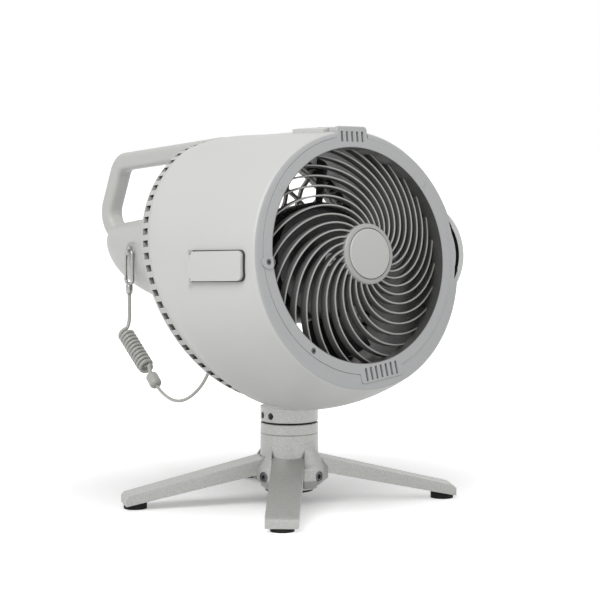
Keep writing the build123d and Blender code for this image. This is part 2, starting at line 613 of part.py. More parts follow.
def head_point(x, up, s):
    """A point of the head's frame in the part's frame."""
    return (HEAD * Pos(x, up, s)).position


def along(points, radius):
    """A round tube through points, with the widest bends that the runs allow."""
    points = [Vector(*point) for point in points]
    radii = []
    for before, at, after in zip(points, points[1:], points[2:]):
        one = at - before
        two = after - at
        half = radians(one.get_angle(two)) / 2
        radii.append(min(0.45 * min(one.length, two.length) / tan(half), 40.0))
    path = FilletPolyline(*points, radius=radii) if radii else Line(*points)
    print("bends", [round(value, 1) for value in radii])
    face = Plane(origin=path @ 0, z_dir=path % 0) * RegularPolygon(radius, CORD_SIDES)
    swept = sweep(face, path=path)
    print("tube volume over section times length", round(swept.volume / (face.area * path.length), 4))
    return swept


eye = head_point(EYE_X, EYE_UP, EYE_S)
hook_top = eye.Z - 1.8
hook_low = hook_top - HOOK_LENGTH
half = HOOK_WIDTH / 2
hook_path = FilletPolyline(
    (eye.X, eye.Y + half, hook_top - 10),
    (eye.X, eye.Y + half, hook_top),
    (eye.X, eye.Y - half, hook_top),
    (eye.X, eye.Y - half, hook_low),
    (eye.X, eye.Y + half, hook_low),
    (eye.X, eye.Y + half, hook_low + 8),
    radius=HOOK_CORNER,
)
hook_face = Plane(origin=hook_path @ 0, z_dir=hook_path % 0) * RegularPolygon(HOOK_WIRE, 8)
parts["snap_hook"] = sweep(hook_face, path=hook_path)
gate_low = hook_low + 8.4
parts["snap_gate"] = Pos(eye.X, eye.Y + half, 0) * rod(HOOK_WIRE - 0.1, gate_low, hook_top - 10.4)
ferrule_top = hook_low - HOOK_WIRE - 0.2
ferrule = Pos(eye.X, eye.Y, 0) * rod(2.7, ferrule_top - 9, ferrule_top)
parts["cord_ferrule"] = chamfer(ferrule.edges().filter_by(GeomType.CIRCLE), 0.8)

# The coil's middle line starts under the hook and leads forward and down
coil_start = Vector(eye.X - 3.0, eye.Y - 1.5, ferrule_top - 52)
coil_end = coil_start + Vector(-4.2, -41.0, -31.0)
coil_axis = (coil_end - coil_start).normalized()
across = coil_axis.cross(Vector(1, 0, 0)).normalized()
third = coil_axis.cross(across)
coil_length = (coil_end - coil_start).length


def coil_point(turns):
    """A point of the coil and its direction after some turns."""
    angle = 2 * pi * turns
    rise = coil_length * turns / COIL_TURNS
    at = coil_start + coil_axis * rise + (across * cos(angle) + third * sin(angle)) * COIL_RADIUS
    way = (third * cos(angle) - across * sin(angle)) * (2 * pi * COIL_RADIUS) + coil_axis * (coil_length / COIL_TURNS)
    return at, way.normalized()


def joint_of(one, two):
    """The meeting point of the two arcs that join two points with given directions."""
    (p, u), (q, v) = one, two
    gap = q - p
    both = u + v
    closing = 2 * (1 - u.dot(v))
    reach = (-gap.dot(both) + sqrt(gap.dot(both) ** 2 + closing * gap.dot(gap))) / closing
    return (p + q + (u - v) * reach) * 0.5


down = Vector(0, 0, -1)
cord_top = Vector(eye.X, eye.Y, ferrule_top - 9)
drop = Vector(eye.X, eye.Y, ferrule_top - 38)
bulb_start = coil_end + coil_axis * 11
stations = [(drop, down)]
stations += [coil_point(step / 2) for step in range(2 * COIL_TURNS + 1)]
stations += [(bulb_start, coil_axis)]
cord_edges = [Line(cord_top, drop)]
for one, two in zip(stations, stations[1:]):
    middle = joint_of(one, two)
    first = TangentArc(one[0], middle, tangent=one[1])
    cord_edges.append(first)
    cord_edges.append(TangentArc(middle, two[0], tangent=first % 1))
cord_edges.append(Line(bulb_start, bulb_start + coil_axis * 3))
print("least bend", round(min(edge.radius for edge in cord_edges[1:-1]), 2))
cord_path = Wire(cord_edges)
cord_face = Plane(origin=cord_top, z_dir=down) * RegularPolygon(CORD_RADIUS, CORD_SIDES)
coil = sweep(cord_face, path=cord_path)
print("coil volume over section times length", round(coil.volume / (cord_face.area * cord_path.length), 4))
parts["lanyard_coil"] = coil
samples = [cord_path @ (index / 900) for index in range(901)]
least = 1e9
for i, one in enumerate(samples):
    for j in range(i + 16, len(samples)):
        least = min(least, (one - samples[j]).length)
print("least gap in the coil", round(least - 2 * CORD_RADIUS, 2))
bulb_low = bulb_start + coil_axis * 3
bulb_plane = Plane(origin=bulb_low, z_dir=coil_axis)
bulb = bulb_plane * (Pos(0, 0, 7.1) * Cylinder(4.7, 14))
parts["cord_bulb"] = fillet(bulb.edges().filter_by(GeomType.CIRCLE), 2.4)
tail = bulb_low + coil_axis * 14.2
slot_turn = 360 / RIM_SLOTS
slot_angle = slot_turn * (round(232.5 / slot_turn - 0.5) + 0.5)
tie_x, tie_up = polar(127.0, slot_angle)
tie = head_point(tie_x, tie_up, rim_rear + 9.4)
tie_out = head_point(tie_x, tie_up, rim_rear - 12)
sag = [
    tail,
    tail + coil_axis * 12,
    Vector(tail.X - 3.5, tail.Y - 32, tail.Z - 21),
    Vector(tail.X - 6.5, tail.Y - 52, tail.Z - 19),
    Vector(tie_out.X + 6, tie_out.Y + 20, tie_out.Z - 13),
    tie_out,
    tie,
]
parts["lanyard_tail"] = along(sag, CORD_RADIUS)

for name, shape in parts.items():
    export_step(shape, f"parts/{name}.step")
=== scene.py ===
"""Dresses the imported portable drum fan: plastics, paint, screws, lanyard, lights and camera."""

import json
import math

import bmesh
import bpy
from mathutils import Matrix, Vector


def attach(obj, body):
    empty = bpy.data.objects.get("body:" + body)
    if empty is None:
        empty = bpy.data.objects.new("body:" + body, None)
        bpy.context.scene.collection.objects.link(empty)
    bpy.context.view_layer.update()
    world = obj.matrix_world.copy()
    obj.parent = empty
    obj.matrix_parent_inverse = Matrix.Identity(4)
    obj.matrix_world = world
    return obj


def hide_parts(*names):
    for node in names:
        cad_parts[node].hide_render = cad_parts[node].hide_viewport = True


bl_info = {
    "name": "Portable drum fan",
    "version": (1, 0, 0),
    "blender": (4, 5, 0),
    "location": "View3D > Sidebar > Drum Fan",
    "description": "Finishes of a portable drum fan with its screws, lanyard and stage",
    "category": "Object",
}

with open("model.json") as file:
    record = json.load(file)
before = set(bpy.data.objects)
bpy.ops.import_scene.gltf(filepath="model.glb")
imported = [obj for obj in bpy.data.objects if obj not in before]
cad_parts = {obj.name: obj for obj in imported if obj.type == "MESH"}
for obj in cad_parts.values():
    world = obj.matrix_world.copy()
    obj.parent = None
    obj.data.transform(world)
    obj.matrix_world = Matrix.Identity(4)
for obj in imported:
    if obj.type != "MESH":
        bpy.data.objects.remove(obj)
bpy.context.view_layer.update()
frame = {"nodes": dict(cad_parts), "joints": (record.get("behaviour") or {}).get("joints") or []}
JOINTS = {joint["name"]: joint for joint in frame["joints"]}
COLUMN = Vector(JOINTS["head_swivel"]["pos_m"])
COLUMN.z = 0.0


class FanColours(bpy.types.PropertyGroup):
    """Colours of the fan's plastics, paint, metals and cord, some of them also used for painted shade."""

    shell: bpy.props.FloatVectorProperty(
        name="Drum",
        description="Satin plastic of the drum, pad and port cover",
        subtype="COLOR",
        size=3,
        min=0.0,
        max=1.0,
        default=(0.660, 0.660, 0.645),
    )
    housing: bpy.props.FloatVectorProperty(
        name="Housing",
        description="Plastic of the rear housing, handle and rear grille",
        subtype="COLOR",
        size=3,
        min=0.0,
        max=1.0,
        default=(0.598, 0.598, 0.580),
    )
    ring: bpy.props.FloatVectorProperty(
        name="Front ring",
        description="Cooler plastic of the front ring",
        subtype="COLOR",
        size=3,
        min=0.0,
        max=1.0,
        default=(0.50, 0.505, 0.51),
    )
    vane: bpy.props.FloatVectorProperty(
        name="Vanes",
        description="Plastic of the spiral vanes and their hub",
        subtype="COLOR",
        size=3,
        min=0.0,
        max=1.0,
        default=(0.46, 0.46, 0.445),
    )
    # Painted shade: a darker copy of the vane colour for the vanes' sides and the grille's rim.
    vane_side_shade: bpy.props.FloatVectorProperty(
        name="Vane sides",
        description="Shaded sides of the spiral vanes",
        subtype="COLOR",
        size=3,
        min=0.0,
        max=1.0,
        default=(0.13, 0.13, 0.127),
    )
    cap: bpy.props.FloatVectorProperty(
        name="Hub disc",
        description="Spun disc in the middle of the grille",
        subtype="COLOR",
        size=3,
        min=0.0,
        max=1.0,
        default=(0.56, 0.56, 0.54),
    )
    paint: bpy.props.FloatVectorProperty(
        name="Stand paint",
        description="Silver paint of the column, collar and legs",
        subtype="COLOR",
        size=3,
        min=0.0,
        max=1.0,
        default=(0.47, 0.47, 0.455),
    )
    # Also the colour of the painted shade in the rim's slots, the grip recess and the gap round the port
    # cover.
    rotor: bpy.props.FloatVectorProperty(
        name="Rotor",
        description="Glossy dark plastic of the blades and motor",
        subtype="COLOR",
        size=3,
        min=0.0,
        max=1.0,
        default=(0.035, 0.035, 0.036),
    )
    # Also the colour of the painted shade on the front ring's bore.
    duct: bpy.props.FloatVectorProperty(
        name="Duct",
        description="Dark plastic inside the drum",
        subtype="COLOR",
        size=3,
        min=0.0,
        max=1.0,
        default=(0.10, 0.10, 0.097),
    )
    rubber: bpy.props.FloatVectorProperty(
        name="Rubber",
        description="Feet of the legs",
        subtype="COLOR",
        size=3,
        min=0.0,
        max=1.0,
        default=(0.012, 0.012, 0.012),
    )
    cord: bpy.props.FloatVectorProperty(
        name="Cord",
        description="Soft plastic of the curly lanyard",
        subtype="COLOR",
        size=3,
        min=0.0,
        max=1.0,
        default=(0.468, 0.468, 0.442),
    )
    zinc: bpy.props.FloatVectorProperty(
        name="Hook metal",
        description="Cast zinc of the snap hook and ferrule",
        subtype="COLOR",
        size=3,
        min=0.0,
        max=1.0,
        default=(0.36, 0.36, 0.35),
    )
    steel: bpy.props.FloatVectorProperty(
        name="Steel",
        description="Pins, spindle and shaft",
        subtype="COLOR",
        size=3,
        min=0.0,
        max=1.0,
        default=(0.50, 0.50, 0.51),
    )
    screw: bpy.props.FloatVectorProperty(
        name="Screw steel",
        description="Dark socket screws",
        subtype="COLOR",
        size=3,
        min=0.0,
        max=1.0,
        default=(0.13, 0.13, 0.135),
    )


class FanSizes(bpy.types.PropertyGroup):
    """Sizes of the pieces that are made here."""

    ring_screw: bpy.props.FloatProperty(
        name="Ring screw radius",
        description="Head radius of the front ring's screws",
        default=0.0027,
        unit="LENGTH",
    )
    collar_screw: bpy.props.FloatProperty(
        name="Collar screw radius",
        description="Head radius of the collar's screws",
        default=0.0031,
        unit="LENGTH",
    )
    base_screw: bpy.props.FloatProperty(
        name="Base screw radius",
        description="Head radius of the screws between the legs",
        default=0.0048,
        unit="LENGTH",
    )
    cord_width: bpy.props.FloatProperty(
        name="Cord diameter",
        description="Thickness of the lanyard's curly cord",
        default=0.0040,
        unit="LENGTH",
    )
    coil_radius: bpy.props.FloatProperty(
        name="Coil radius",
        description="From the coil's axis to the middle of its cord",
        default=0.0072,
        unit="LENGTH",
    )
    coil_turns: bpy.props.IntProperty(
        name="Coil turns",
        description="Curls of the lanyard",
        default=11,
        min=1,
    )
    coil_cord_length: bpy.props.FloatProperty(
        name="Curly cord length",
        description="Length of cord from the ferrule to the bulb",
        default=0.527,
        unit="LENGTH",
    )
    tail_width: bpy.props.FloatProperty(
        name="Loose end diameter",
        description="Thickness of the lanyard's loose end",
        default=0.0034,
        unit="LENGTH",
    )
    tail_length: bpy.props.FloatProperty(
        name="Loose end length",
        description="Length of cord from the bulb to the rear rim",
        default=0.166,
        unit="LENGTH",
    )
    vane_width: bpy.props.FloatProperty(
        name="Vane thickness",
        description="Thickness of a spiral vane",
        default=0.0017,
        unit="LENGTH",
    )
    vane_sweep: bpy.props.FloatProperty(
        name="Vane sweep",
        description="How far a spiral vane turns from the hub to the ring",
        default=math.radians(84),
        unit="ROTATION",
    )
    vane_depth: bpy.props.FloatProperty(
        name="Vane depth",
        description="Depth of a spiral vane along the fan's axis",
        default=0.0085,
        unit="LENGTH",
    )
    blade_pitch: bpy.props.FloatProperty(
        name="Blade pitch",
        description="Pitch of the rotor's blades at the hub",
        default=math.radians(52),
        unit="ROTATION",
    )
    rear_slant: bpy.props.FloatProperty(
        name="Rear slant",
        description="How far the drum's rear edge leans back against its front",
        default=math.radians(12),
        unit="ROTATION",
    )
    rear_growth: bpy.props.FloatProperty(
        name="Rear growth",
        description="How much wider the drum's rear edge is at the top",
        default=0.041,
    )
    smooth_angle: bpy.props.FloatProperty(
        name="Crease angle",
        description="Edges sharper than this stay sharp",
        default=math.radians(32),
        subtype="ANGLE",
    )


class FanStage(bpy.types.PropertyGroup):
    """Camera, lamps and floor."""

    camera_place: bpy.props.FloatVectorProperty(
        name="Camera place",
        description="Where the camera stands",
        subtype="TRANSLATION",
        unit="LENGTH",
        size=3,
        default=(-1.3279, -1.8495, 0.398),
    )
    camera_turn: bpy.props.FloatVectorProperty(
        name="Camera turn",
        description="Which way the camera looks",
        subtype="EULER",
        size=3,
        default=(math.radians(84.93), 0.0, math.radians(-37.5)),
    )
    lens: bpy.props.FloatProperty(
        name="Lens",
        description="Focal length in millimetres on a 36 mm sensor",
        default=133.0,
        unit="CAMERA",
    )
    world_level: bpy.props.FloatProperty(
        name="Room light",
        description="Strength of the even light from all round",
        default=0.40,
        min=0.0,
    )
    key_power: bpy.props.FloatProperty(
        name="Key lamp",
        description="Power of the large lamp above the front left",
        default=30.0,
        unit="POWER",
    )
    fill_power: bpy.props.FloatProperty(
        name="Fill lamp",
        description="Power of the soft lamp at the right",
        default=5.0,
        unit="POWER",
    )
    # The floor's glow near the fan, rising to white further away; a low value paints the floor darker round
    # the fan's base.
    floor_lift: bpy.props.FloatProperty(
        name="Floor lift",
        description="How much the floor is raised towards white for the camera",
        default=0.18,
        min=0.0,
        max=1.0,
    )


# Node helpers


def feed(tree, value, socket):
    """Links a socket or sets a plain value."""
    if isinstance(value, bpy.types.NodeSocket):
        tree.links.new(value, socket)
    else:
        socket.default_value = value


def add(tree, kind, inputs=None, **settings):
    """A new node with its settings and inputs."""
    node = tree.nodes.new(kind)
    for name, value in settings.items():
        setattr(node, name, value)
    for name, value in (inputs or {}).items():
        feed(tree, value, node.inputs[name])
    return node


def sums(tree, operation, one, two):
    """The result of one Math node."""
    node = add(tree, "ShaderNodeMath", operation=operation)
    feed(tree, one, node.inputs[0])
    feed(tree, two, node.inputs[1])
    return node.outputs[0]


def scaled(tree, colour, factor):
    """A colour times a value."""
    node = add(tree, "ShaderNodeVectorMath", operation="SCALE")
    feed(tree, colour, node.inputs[0])
    feed(tree, factor, node.inputs["Scale"])
    return node.outputs[0]


def blended(tree, factor, one, two):
    """A mix of two colours."""
    node = add(tree, "ShaderNodeMix", data_type="RGBA")
    feed(tree, factor, node.inputs[0])
    feed(tree, one, node.inputs[6])
    feed(tree, two, node.inputs[7])
    return node.outputs[2]


def group_tree(name, inputs, outputs):
    """An empty shader group with its sockets."""
    tree = bpy.data.node_groups.new(name, "ShaderNodeTree")
    for label, kind, value in inputs:
        socket = tree.interface.new_socket(label, in_out="INPUT", socket_type=kind)
        socket.default_value = value
    for label, kind in outputs:
        tree.interface.new_socket(label, in_out="OUTPUT", socket_type=kind)
    return tree, tree.nodes.new("NodeGroupInput"), tree.nodes.new("NodeGroupOutput")


def shared(name, build):
    """A shader group, built the first time that it is asked for."""
    return bpy.data.node_groups.get(name) or build(name)


def axis_reach(tree):
    """Each point's distance from the fan's axis."""
    place = add(tree, "ShaderNodeTexCoord").outputs["Object"]
    local = add(tree, "ShaderNodeMapping", {"Vector": place}, vector_type="TEXTURE")
    local.inputs["Location"].default_value = HEAD.to_translation()
    local.inputs["Rotation"].default_value = HEAD.to_euler()
    flat = add(tree, "ShaderNodeVectorMath", operation="MULTIPLY")
    feed(tree, local.outputs["Vector"], flat.inputs[0])
    flat.inputs[1].default_value = (1.0, 1.0, 0.0)
    reach = add(tree, "ShaderNodeVectorMath", operation="LENGTH")
    feed(tree, flat.outputs[0], reach.inputs[0])
    return reach.outputs["Value"]


def seen_rays(tree):
    """1 for rays that show a surface as it is to the camera, a mirror or a clear piece, and else 0."""
    ray = add(tree, "ShaderNodeLightPath")
    seen = sums(tree, "MAXIMUM", ray.outputs["Is Camera Ray"], ray.outputs["Is Glossy Ray"])
    return sums(tree, "MAXIMUM", seen, ray.outputs["Is Transmission Ray"])


# Effects that several finishes share


def moulded_grain(name):
    """Fine moulding texture with a slow drift of tone and gloss."""
    tree, given, out = group_tree(
        name,
        [
            ("Colour", "NodeSocketColor", (0.5, 0.5, 0.5, 1.0)),
            ("Roughness", "NodeSocketFloat", 0.4),
            ("Grain scale", "NodeSocketFloat", 900.0),
            ("Drift scale", "NodeSocketFloat", 9.0),
            ("Tone spread", "NodeSocketFloat", 0.04),
            ("Gloss spread", "NodeSocketFloat", 0.08),
        ],
        [
            ("Colour", "NodeSocketColor"),
            ("Roughness", "NodeSocketFloat"),
            ("Height", "NodeSocketFloat"),
        ],
    )
    place = add(tree, "ShaderNodeTexCoord").outputs["Object"]
    grain = add(
        tree,
        "ShaderNodeTexNoise",
        {"Vector": place, "Scale": given.outputs["Grain scale"], "Detail": 2.0},
    ).outputs["Fac"]
    drift = add(
        tree,
        "ShaderNodeTexNoise",
        {"Vector": place, "Scale": given.outputs["Drift scale"], "Detail": 3.0},
    ).outputs["Fac"]
    speck = sums(tree, "MULTIPLY", sums(tree, "SUBTRACT", grain, 0.5), 0.5)
    tone = sums(tree, "ADD", sums(tree, "SUBTRACT", drift, 0.5), speck)
    tone = sums(tree, "MULTIPLY", tone, given.outputs["Tone spread"])
    tone = sums(tree, "ADD", tone, 1.0)
    gloss = sums(tree, "ADD", drift, grain)
    gloss = sums(tree, "SUBTRACT", gloss, 1.0)
    gloss = sums(tree, "MULTIPLY", gloss, given.outputs["Gloss spread"])
    feed(tree, scaled(tree, given.outputs["Colour"], tone), out.inputs["Colour"])
    feed(tree, sums(tree, "ADD", given.outputs["Roughness"], gloss), out.inputs["Roughness"])
    feed(tree, grain, out.inputs["Height"])
    return tree


def paint_flakes(name):
    """Metal flakes under a paint film, with a slight orange-peel surface."""
    tree, given, out = group_tree(
        name,
        [
            ("Colour", "NodeSocketColor", (0.5, 0.5, 0.5, 1.0)),
            ("Roughness", "NodeSocketFloat", 0.4),
            ("Flake scale", "NodeSocketFloat", 1500.0),
            ("Flake spread", "NodeSocketFloat", 0.25),
        ],
        [
            ("Colour", "NodeSocketColor"),
            ("Roughness", "NodeSocketFloat"),
            ("Height", "NodeSocketFloat"),
        ],
    )
    place = add(tree, "ShaderNodeTexCoord").outputs["Object"]
    flake = add(
        tree,
        "ShaderNodeTexVoronoi",
        {"Vector": place, "Scale": given.outputs["Flake scale"]},
    )
    tint = add(tree, "ShaderNodeSeparateColor", {"Color": flake.outputs["Color"]}).outputs["Red"]
    tone = sums(tree, "SUBTRACT", tint, 0.5)
    tone = sums(tree, "MULTIPLY", tone, given.outputs["Flake spread"])
    peel = add(
        tree, "ShaderNodeTexNoise", {"Vector": place, "Scale": 420.0, "Detail": 1.0}
    ).outputs["Fac"]
    rough = sums(tree, "MULTIPLY", sums(tree, "SUBTRACT", peel, 0.5), 0.12)
    feed(
        tree,
        scaled(tree, given.outputs["Colour"], sums(tree, "ADD", tone, 1.0)),
        out.inputs["Colour"],
    )
    feed(tree, sums(tree, "ADD", given.outputs["Roughness"], rough), out.inputs["Roughness"])
    feed(tree, peel, out.inputs["Height"])
    return tree


def drawn_lines(name):
    """Fine lines that a tool or die leaves along one value."""
    tree, given, out = group_tree(
        name,
        [
            ("Along", "NodeSocketFloat", 0.0),
            ("Colour", "NodeSocketColor", (0.5, 0.5, 0.5, 1.0)),
            ("Roughness", "NodeSocketFloat", 0.3),
            ("Line scale", "NodeSocketFloat", 3000.0),
            ("Line spread", "NodeSocketFloat", 0.12),
        ],
        [
            ("Colour", "NodeSocketColor"),
            ("Roughness", "NodeSocketFloat"),
            ("Height", "NodeSocketFloat"),
        ],
    )
    line = tree.nodes.new("ShaderNodeTexNoise")
    line.noise_dimensions = "1D"
    feed(tree, given.outputs["Along"], line.inputs["W"])
    feed(tree, given.outputs["Line scale"], line.inputs["Scale"])
    line.inputs["Detail"].default_value = 3.0
    shift = sums(tree, "SUBTRACT", line.outputs["Fac"], 0.5)
    shift = sums(tree, "MULTIPLY", shift, given.outputs["Line spread"])
    feed(
        tree,
        scaled(tree, given.outputs["Colour"], sums(tree, "ADD", shift, 1.0)),
        out.inputs["Colour"],
    )
    feed(tree, sums(tree, "ADD", given.outputs["Roughness"], shift), out.inputs["Roughness"])
    feed(tree, line.outputs["Fac"], out.inputs["Height"])
    return tree


# Finishes


def new_finish(name):
    """An empty material and its shader."""
    material = bpy.data.materials.new(name)
    material.use_nodes = True
    tree = material.node_tree
    shader = tree.nodes["Principled BSDF"]
    return material, tree, shader


def use_effect(tree, shader, effect, depth, strength):
    """Feeds a group's colour, roughness and height to the shader."""
    feed(tree, effect.outputs["Colour"], shader.inputs["Base Color"])
    feed(tree, effect.outputs["Roughness"], shader.inputs["Roughness"])
    bump = add(tree, "ShaderNodeBump", {"Strength": strength, "Distance": depth})
    feed(tree, effect.outputs["Height"], bump.inputs["Height"])
    feed(tree, bump.outputs["Normal"], shader.inputs["Normal"])


def moulded_plastic(name, colour, roughness, grain=900.0, depth=0.00006, tone=0.04, gloss=0.08, specular=0.5):
    """Injection-moulded plastic with a fine surface texture."""
    material, tree, shader = new_finish(name)
    effect = add(
        tree,
        "ShaderNodeGroup",
        {
            "Colour": (*colour, 1.0),
            "Roughness": roughness,
            "Grain scale": grain,
            "Tone spread": tone,
            "Gloss spread": gloss,
        },
        node_tree=shared("Moulded grain", moulded_grain),
    )
    use_effect(tree, shader, effect, depth, 0.5)
    shader.inputs["Specular IOR Level"].default_value = specular
    return material


def flake_paint(name, colour, roughness, metallic):
    """Silver paint on cast metal."""
    material, tree, shader = new_finish(name)
    effect = add(
        tree,
        "ShaderNodeGroup",
        {"Colour": (*colour, 1.0), "Roughness": roughness},
        node_tree=shared("Paint flakes", paint_flakes),
    )
    use_effect(tree, shader, effect, 0.00005, 0.35)
    shader.inputs["Metallic"].default_value = metallic
    return material


def lined(tree, along, colour, roughness, scale, spread):
    """The node of the drawn lines, with its values."""
    return add(
        tree,
        "ShaderNodeGroup",
        {
            "Along": along,
            "Colour": (*colour, 1.0),
            "Roughness": roughness,
            "Line scale": scale,
            "Line spread": spread,
        },
        node_tree=shared("Drawn lines", drawn_lines),
    )


def line_metal(name, colour, roughness, axis, scale=2500.0):
    """Metal with fine lines across one axis of the part."""
    material, tree, shader = new_finish(name)
    place = add(tree, "ShaderNodeTexCoord").outputs["Object"]
    parts = add(tree, "ShaderNodeSeparateXYZ", {"Vector": place})
    effect = lined(tree, parts.outputs[axis], colour, roughness, scale, 0.14)
    use_effect(tree, shader, effect, 0.00003, 0.3)
    shader.inputs["Metallic"].default_value = 1.0
    return material


def spun_disc(name, colour, roughness):
    """A disc turned on a lathe: fine rings round the fan's axis."""
    material, tree, shader = new_finish(name)
    effect = lined(tree, axis_reach(tree), colour, roughness, 1800.0, 0.10)
    use_effect(tree, shader, effect, 0.00004, 0.3)
    shader.inputs["Metallic"].default_value = 0.1
    return material


def paint_bore_shade(material, colour, inner, outer):
    """Blends a finish to a darker colour near the fan's axis: painted shade on the ring's bore."""
    tree = material.node_tree
    shader = tree.nodes["Principled BSDF"]
    effect = next(node for node in tree.nodes if node.type == "GROUP")
    share = add(
        tree,
        "ShaderNodeMapRange",
        {"Value": axis_reach(tree), "From Min": inner, "From Max": outer},
    )
    tone = blended(tree, share.outputs["Result"], (*colour, 1.0), effect.outputs["Colour"])
    feed(tree, tone, shader.inputs["Base Color"])


def wound_copper(name):
    """Enamelled copper wire laid side by side."""
    material, tree, shader = new_finish(name)
    place = add(tree, "ShaderNodeTexCoord").outputs["Object"]
    wire = add(
        tree,
        "ShaderNodeTexWave",
        {"Vector": place, "Scale": 260.0, "Distortion": 1.5, "Detail": 1.0},
    ).outputs["Fac"]
    tone = blended(tree, wire, (0.20, 0.07, 0.03, 1.0), (0.62, 0.27, 0.12, 1.0))
    feed(tree, tone, shader.inputs["Base Color"])
    feed(tree, sums(tree, "ADD", sums(tree, "MULTIPLY", wire, -0.15), 0.42), shader.inputs["Roughness"])
    bump = add(tree, "ShaderNodeBump", {"Strength": 0.6, "Distance": 0.0003, "Height": wire})
    feed(tree, bump.outputs["Normal"], shader.inputs["Normal"])
    shader.inputs["Metallic"].default_value = 0.9
    return material


def cell_wrap(name):
    """Dark blue shrink wrap round the cells."""
    material, tree, shader = new_finish(name)
    effect = add(
        tree,
        "ShaderNodeGroup",
        {
            "Colour": (0.03, 0.10, 0.22, 1.0),
            "Roughness": 0.3,
            "Grain scale": 220.0,
            "Tone spread": 0.2,
        },
        node_tree=shared("Moulded grain", moulded_grain),
    )
    use_effect(tree, shader, effect, 0.0002, 0.3)
    return material


def circuit_board(name):
    """Green lacquer over copper traces."""
    material, tree, shader = new_finish(name)
    place = add(tree, "ShaderNodeTexCoord").outputs["Object"]
    trace = add(
        tree,
        "ShaderNodeTexBrick",
        {
            "Vector": place,
            "Color1": (0.012, 0.10, 0.04, 1.0),
            "Color2": (0.015, 0.12, 0.05, 1.0),
            "Mortar": (0.05, 0.22, 0.08, 1.0),
            "Scale": 160.0,
            "Mortar Size": 0.03,
        },
    )
    feed(tree, trace.outputs["Color"], shader.inputs["Base Color"])
    feed(
        tree,
        sums(tree, "ADD", sums(tree, "MULTIPLY", trace.outputs["Fac"], 0.12), 0.3),
        shader.inputs["Roughness"],
    )
    bump = add(tree, "ShaderNodeBump", {"Strength": 0.4, "Distance": 0.0001})
    feed(tree, trace.outputs["Fac"], bump.inputs["Height"])
    feed(tree, bump.outputs["Normal"], shader.inputs["Normal"])
    return material


# Places and sizes of the pieces, in metres and mostly in the head's frame


MERGE_DISTANCE = 2e-6
HEAD_HEIGHT = 0.237
HEAD_LEAN = math.radians(8.5)
LIP_START = 0.1116
DRUM_RADIUS = 0.1345
RIM_START = -0.0501
RIM_DEPTH = 0.0119
RIM_INNER = 0.112
RIM_INNER_SEEN = 0.123
SLOT_FOOT = 0.117
SLOT_FOOT_SEEN = 0.125
BARS_INNER = 0.072
RIM_EDGE = -0.05005
SKIN_INNER = 0.125
SKIN_PULL = 0.014
BAR_SINK = 0.016
GRIP_CENTRE = 0.086
GRIP_RADIUS = 0.0424
LUG_CENTRE = 0.077
LUG_RADIUS = 0.0446
DOME_RADIUS = 0.2119
DOME_CENTRE = -0.083925
OPENING_RADIUS = 0.1035
VANES = 28
VANE_INNER = 0.027
VANE_OUTER = 0.1043
BLADES = 5
BLADE_START = math.radians(74)
BLADE_ROOT = 0.0565
BLADE_TIP = 0.101
BLADE_MIDDLE = 0.031
RING_SCREW_REACH = 0.10935
RING_SCREW_PLACES = ((181.0, 0.1118), (233.0, 0.1106))
PLUG_PLACES = ((37.0, 0.1110), (143.0, 0.1110))
COLLAR_SCREW_TURNS = (-13.2, 13.2, 166.8, 193.2)
BASE_SCREW_TURNS = (112.5, 193.45, 280.7, 379.75)
LANYARD_EYE = Vector((-0.040, 0.040, -0.226))
FERRULE_DROP = 0.0382
COIL_RUN = Vector((-0.0045, -0.0487, -0.0333))
COIL_STEPS = 12
BULB_AXIS = Vector((-0.0042, -0.041, -0.031)).normalized()
TIE_TURN = math.radians(228)
TIE_REACH = 0.131
TIE_PLACE = -0.050

# The loose end's route between the bulb and the rim, from the column's foot

LOOSE_ROUTE = (
    (-0.0555, 0.1412, 0.0975),
    (-0.0601, 0.1208, 0.0945),
    (-0.0627, 0.1015, 0.0952),
    (-0.0660, 0.0806, 0.1012),
    (-0.0717, 0.0573, 0.1117),
    (-0.0788, 0.0350, 0.1236),
)

# Profiles that are spun round an axis: distance from it and place along it

RIM_BAND = (
    (0.1344, -0.0478),
    (0.1338, -0.0508),
    (0.1316, -0.0532),
    (0.1280, -0.0541),
    (0.1220, -0.0541),
    (0.1220, -0.0478),
)
GRILLE_RIM = (
    (0.1134, 0.0974),
    (0.1134, 0.1010),
    (OPENING_RADIUS, 0.1010),
    (OPENING_RADIUS, 0.0974),
)
GRILLE_HUB = (
    (0.0, 0.1174),
    (0.029, 0.1174),
    (0.029, 0.1266),
    (0.0278, 0.1278),
    (0.0248, 0.1278),
    (0.0248, 0.1256),
    (0.0, 0.1256),
)
ROTOR_CUP = (
    (0.004, 0.038),
    (0.010, 0.038),
    (0.010, 0.058),
    (0.0554, 0.051),
    (0.0554, 0.006),
    (0.058, 0.006),
    (0.058, 0.054),
    (0.0565, 0.0575),
    (0.052, 0.060),
    (0.046, 0.062),
    (0.004, 0.062),
)
DUCT_WALL = (
    (0.106, 0.0973),
    (0.106, 0.062),
    (0.113, 0.031),
    (0.1215, 0.0),
    (0.126, -0.030),
)
DUCT_THICKNESS = 0.002
PLUG = (
    (0.0, 0.0),
    (0.00288, 0.0),
    (0.00288, 0.0018),
    (0.0025, 0.002),
    (0.0, 0.002),
)


def head_frame():
    """The head's own frame: x to the right, y up and z forward along the fan's axis."""
    lean = Matrix.Rotation(-HEAD_LEAN, 4, "X")
    forward = Matrix(((1, 0, 0, 0), (0, 0, -1, 0), (0, 1, 0, 0), (0, 0, 0, 1)))
    return Matrix.Translation((COLUMN.x, COLUMN.y, HEAD_HEIGHT)) @ lean @ forward


HEAD = head_frame()


# Shapes


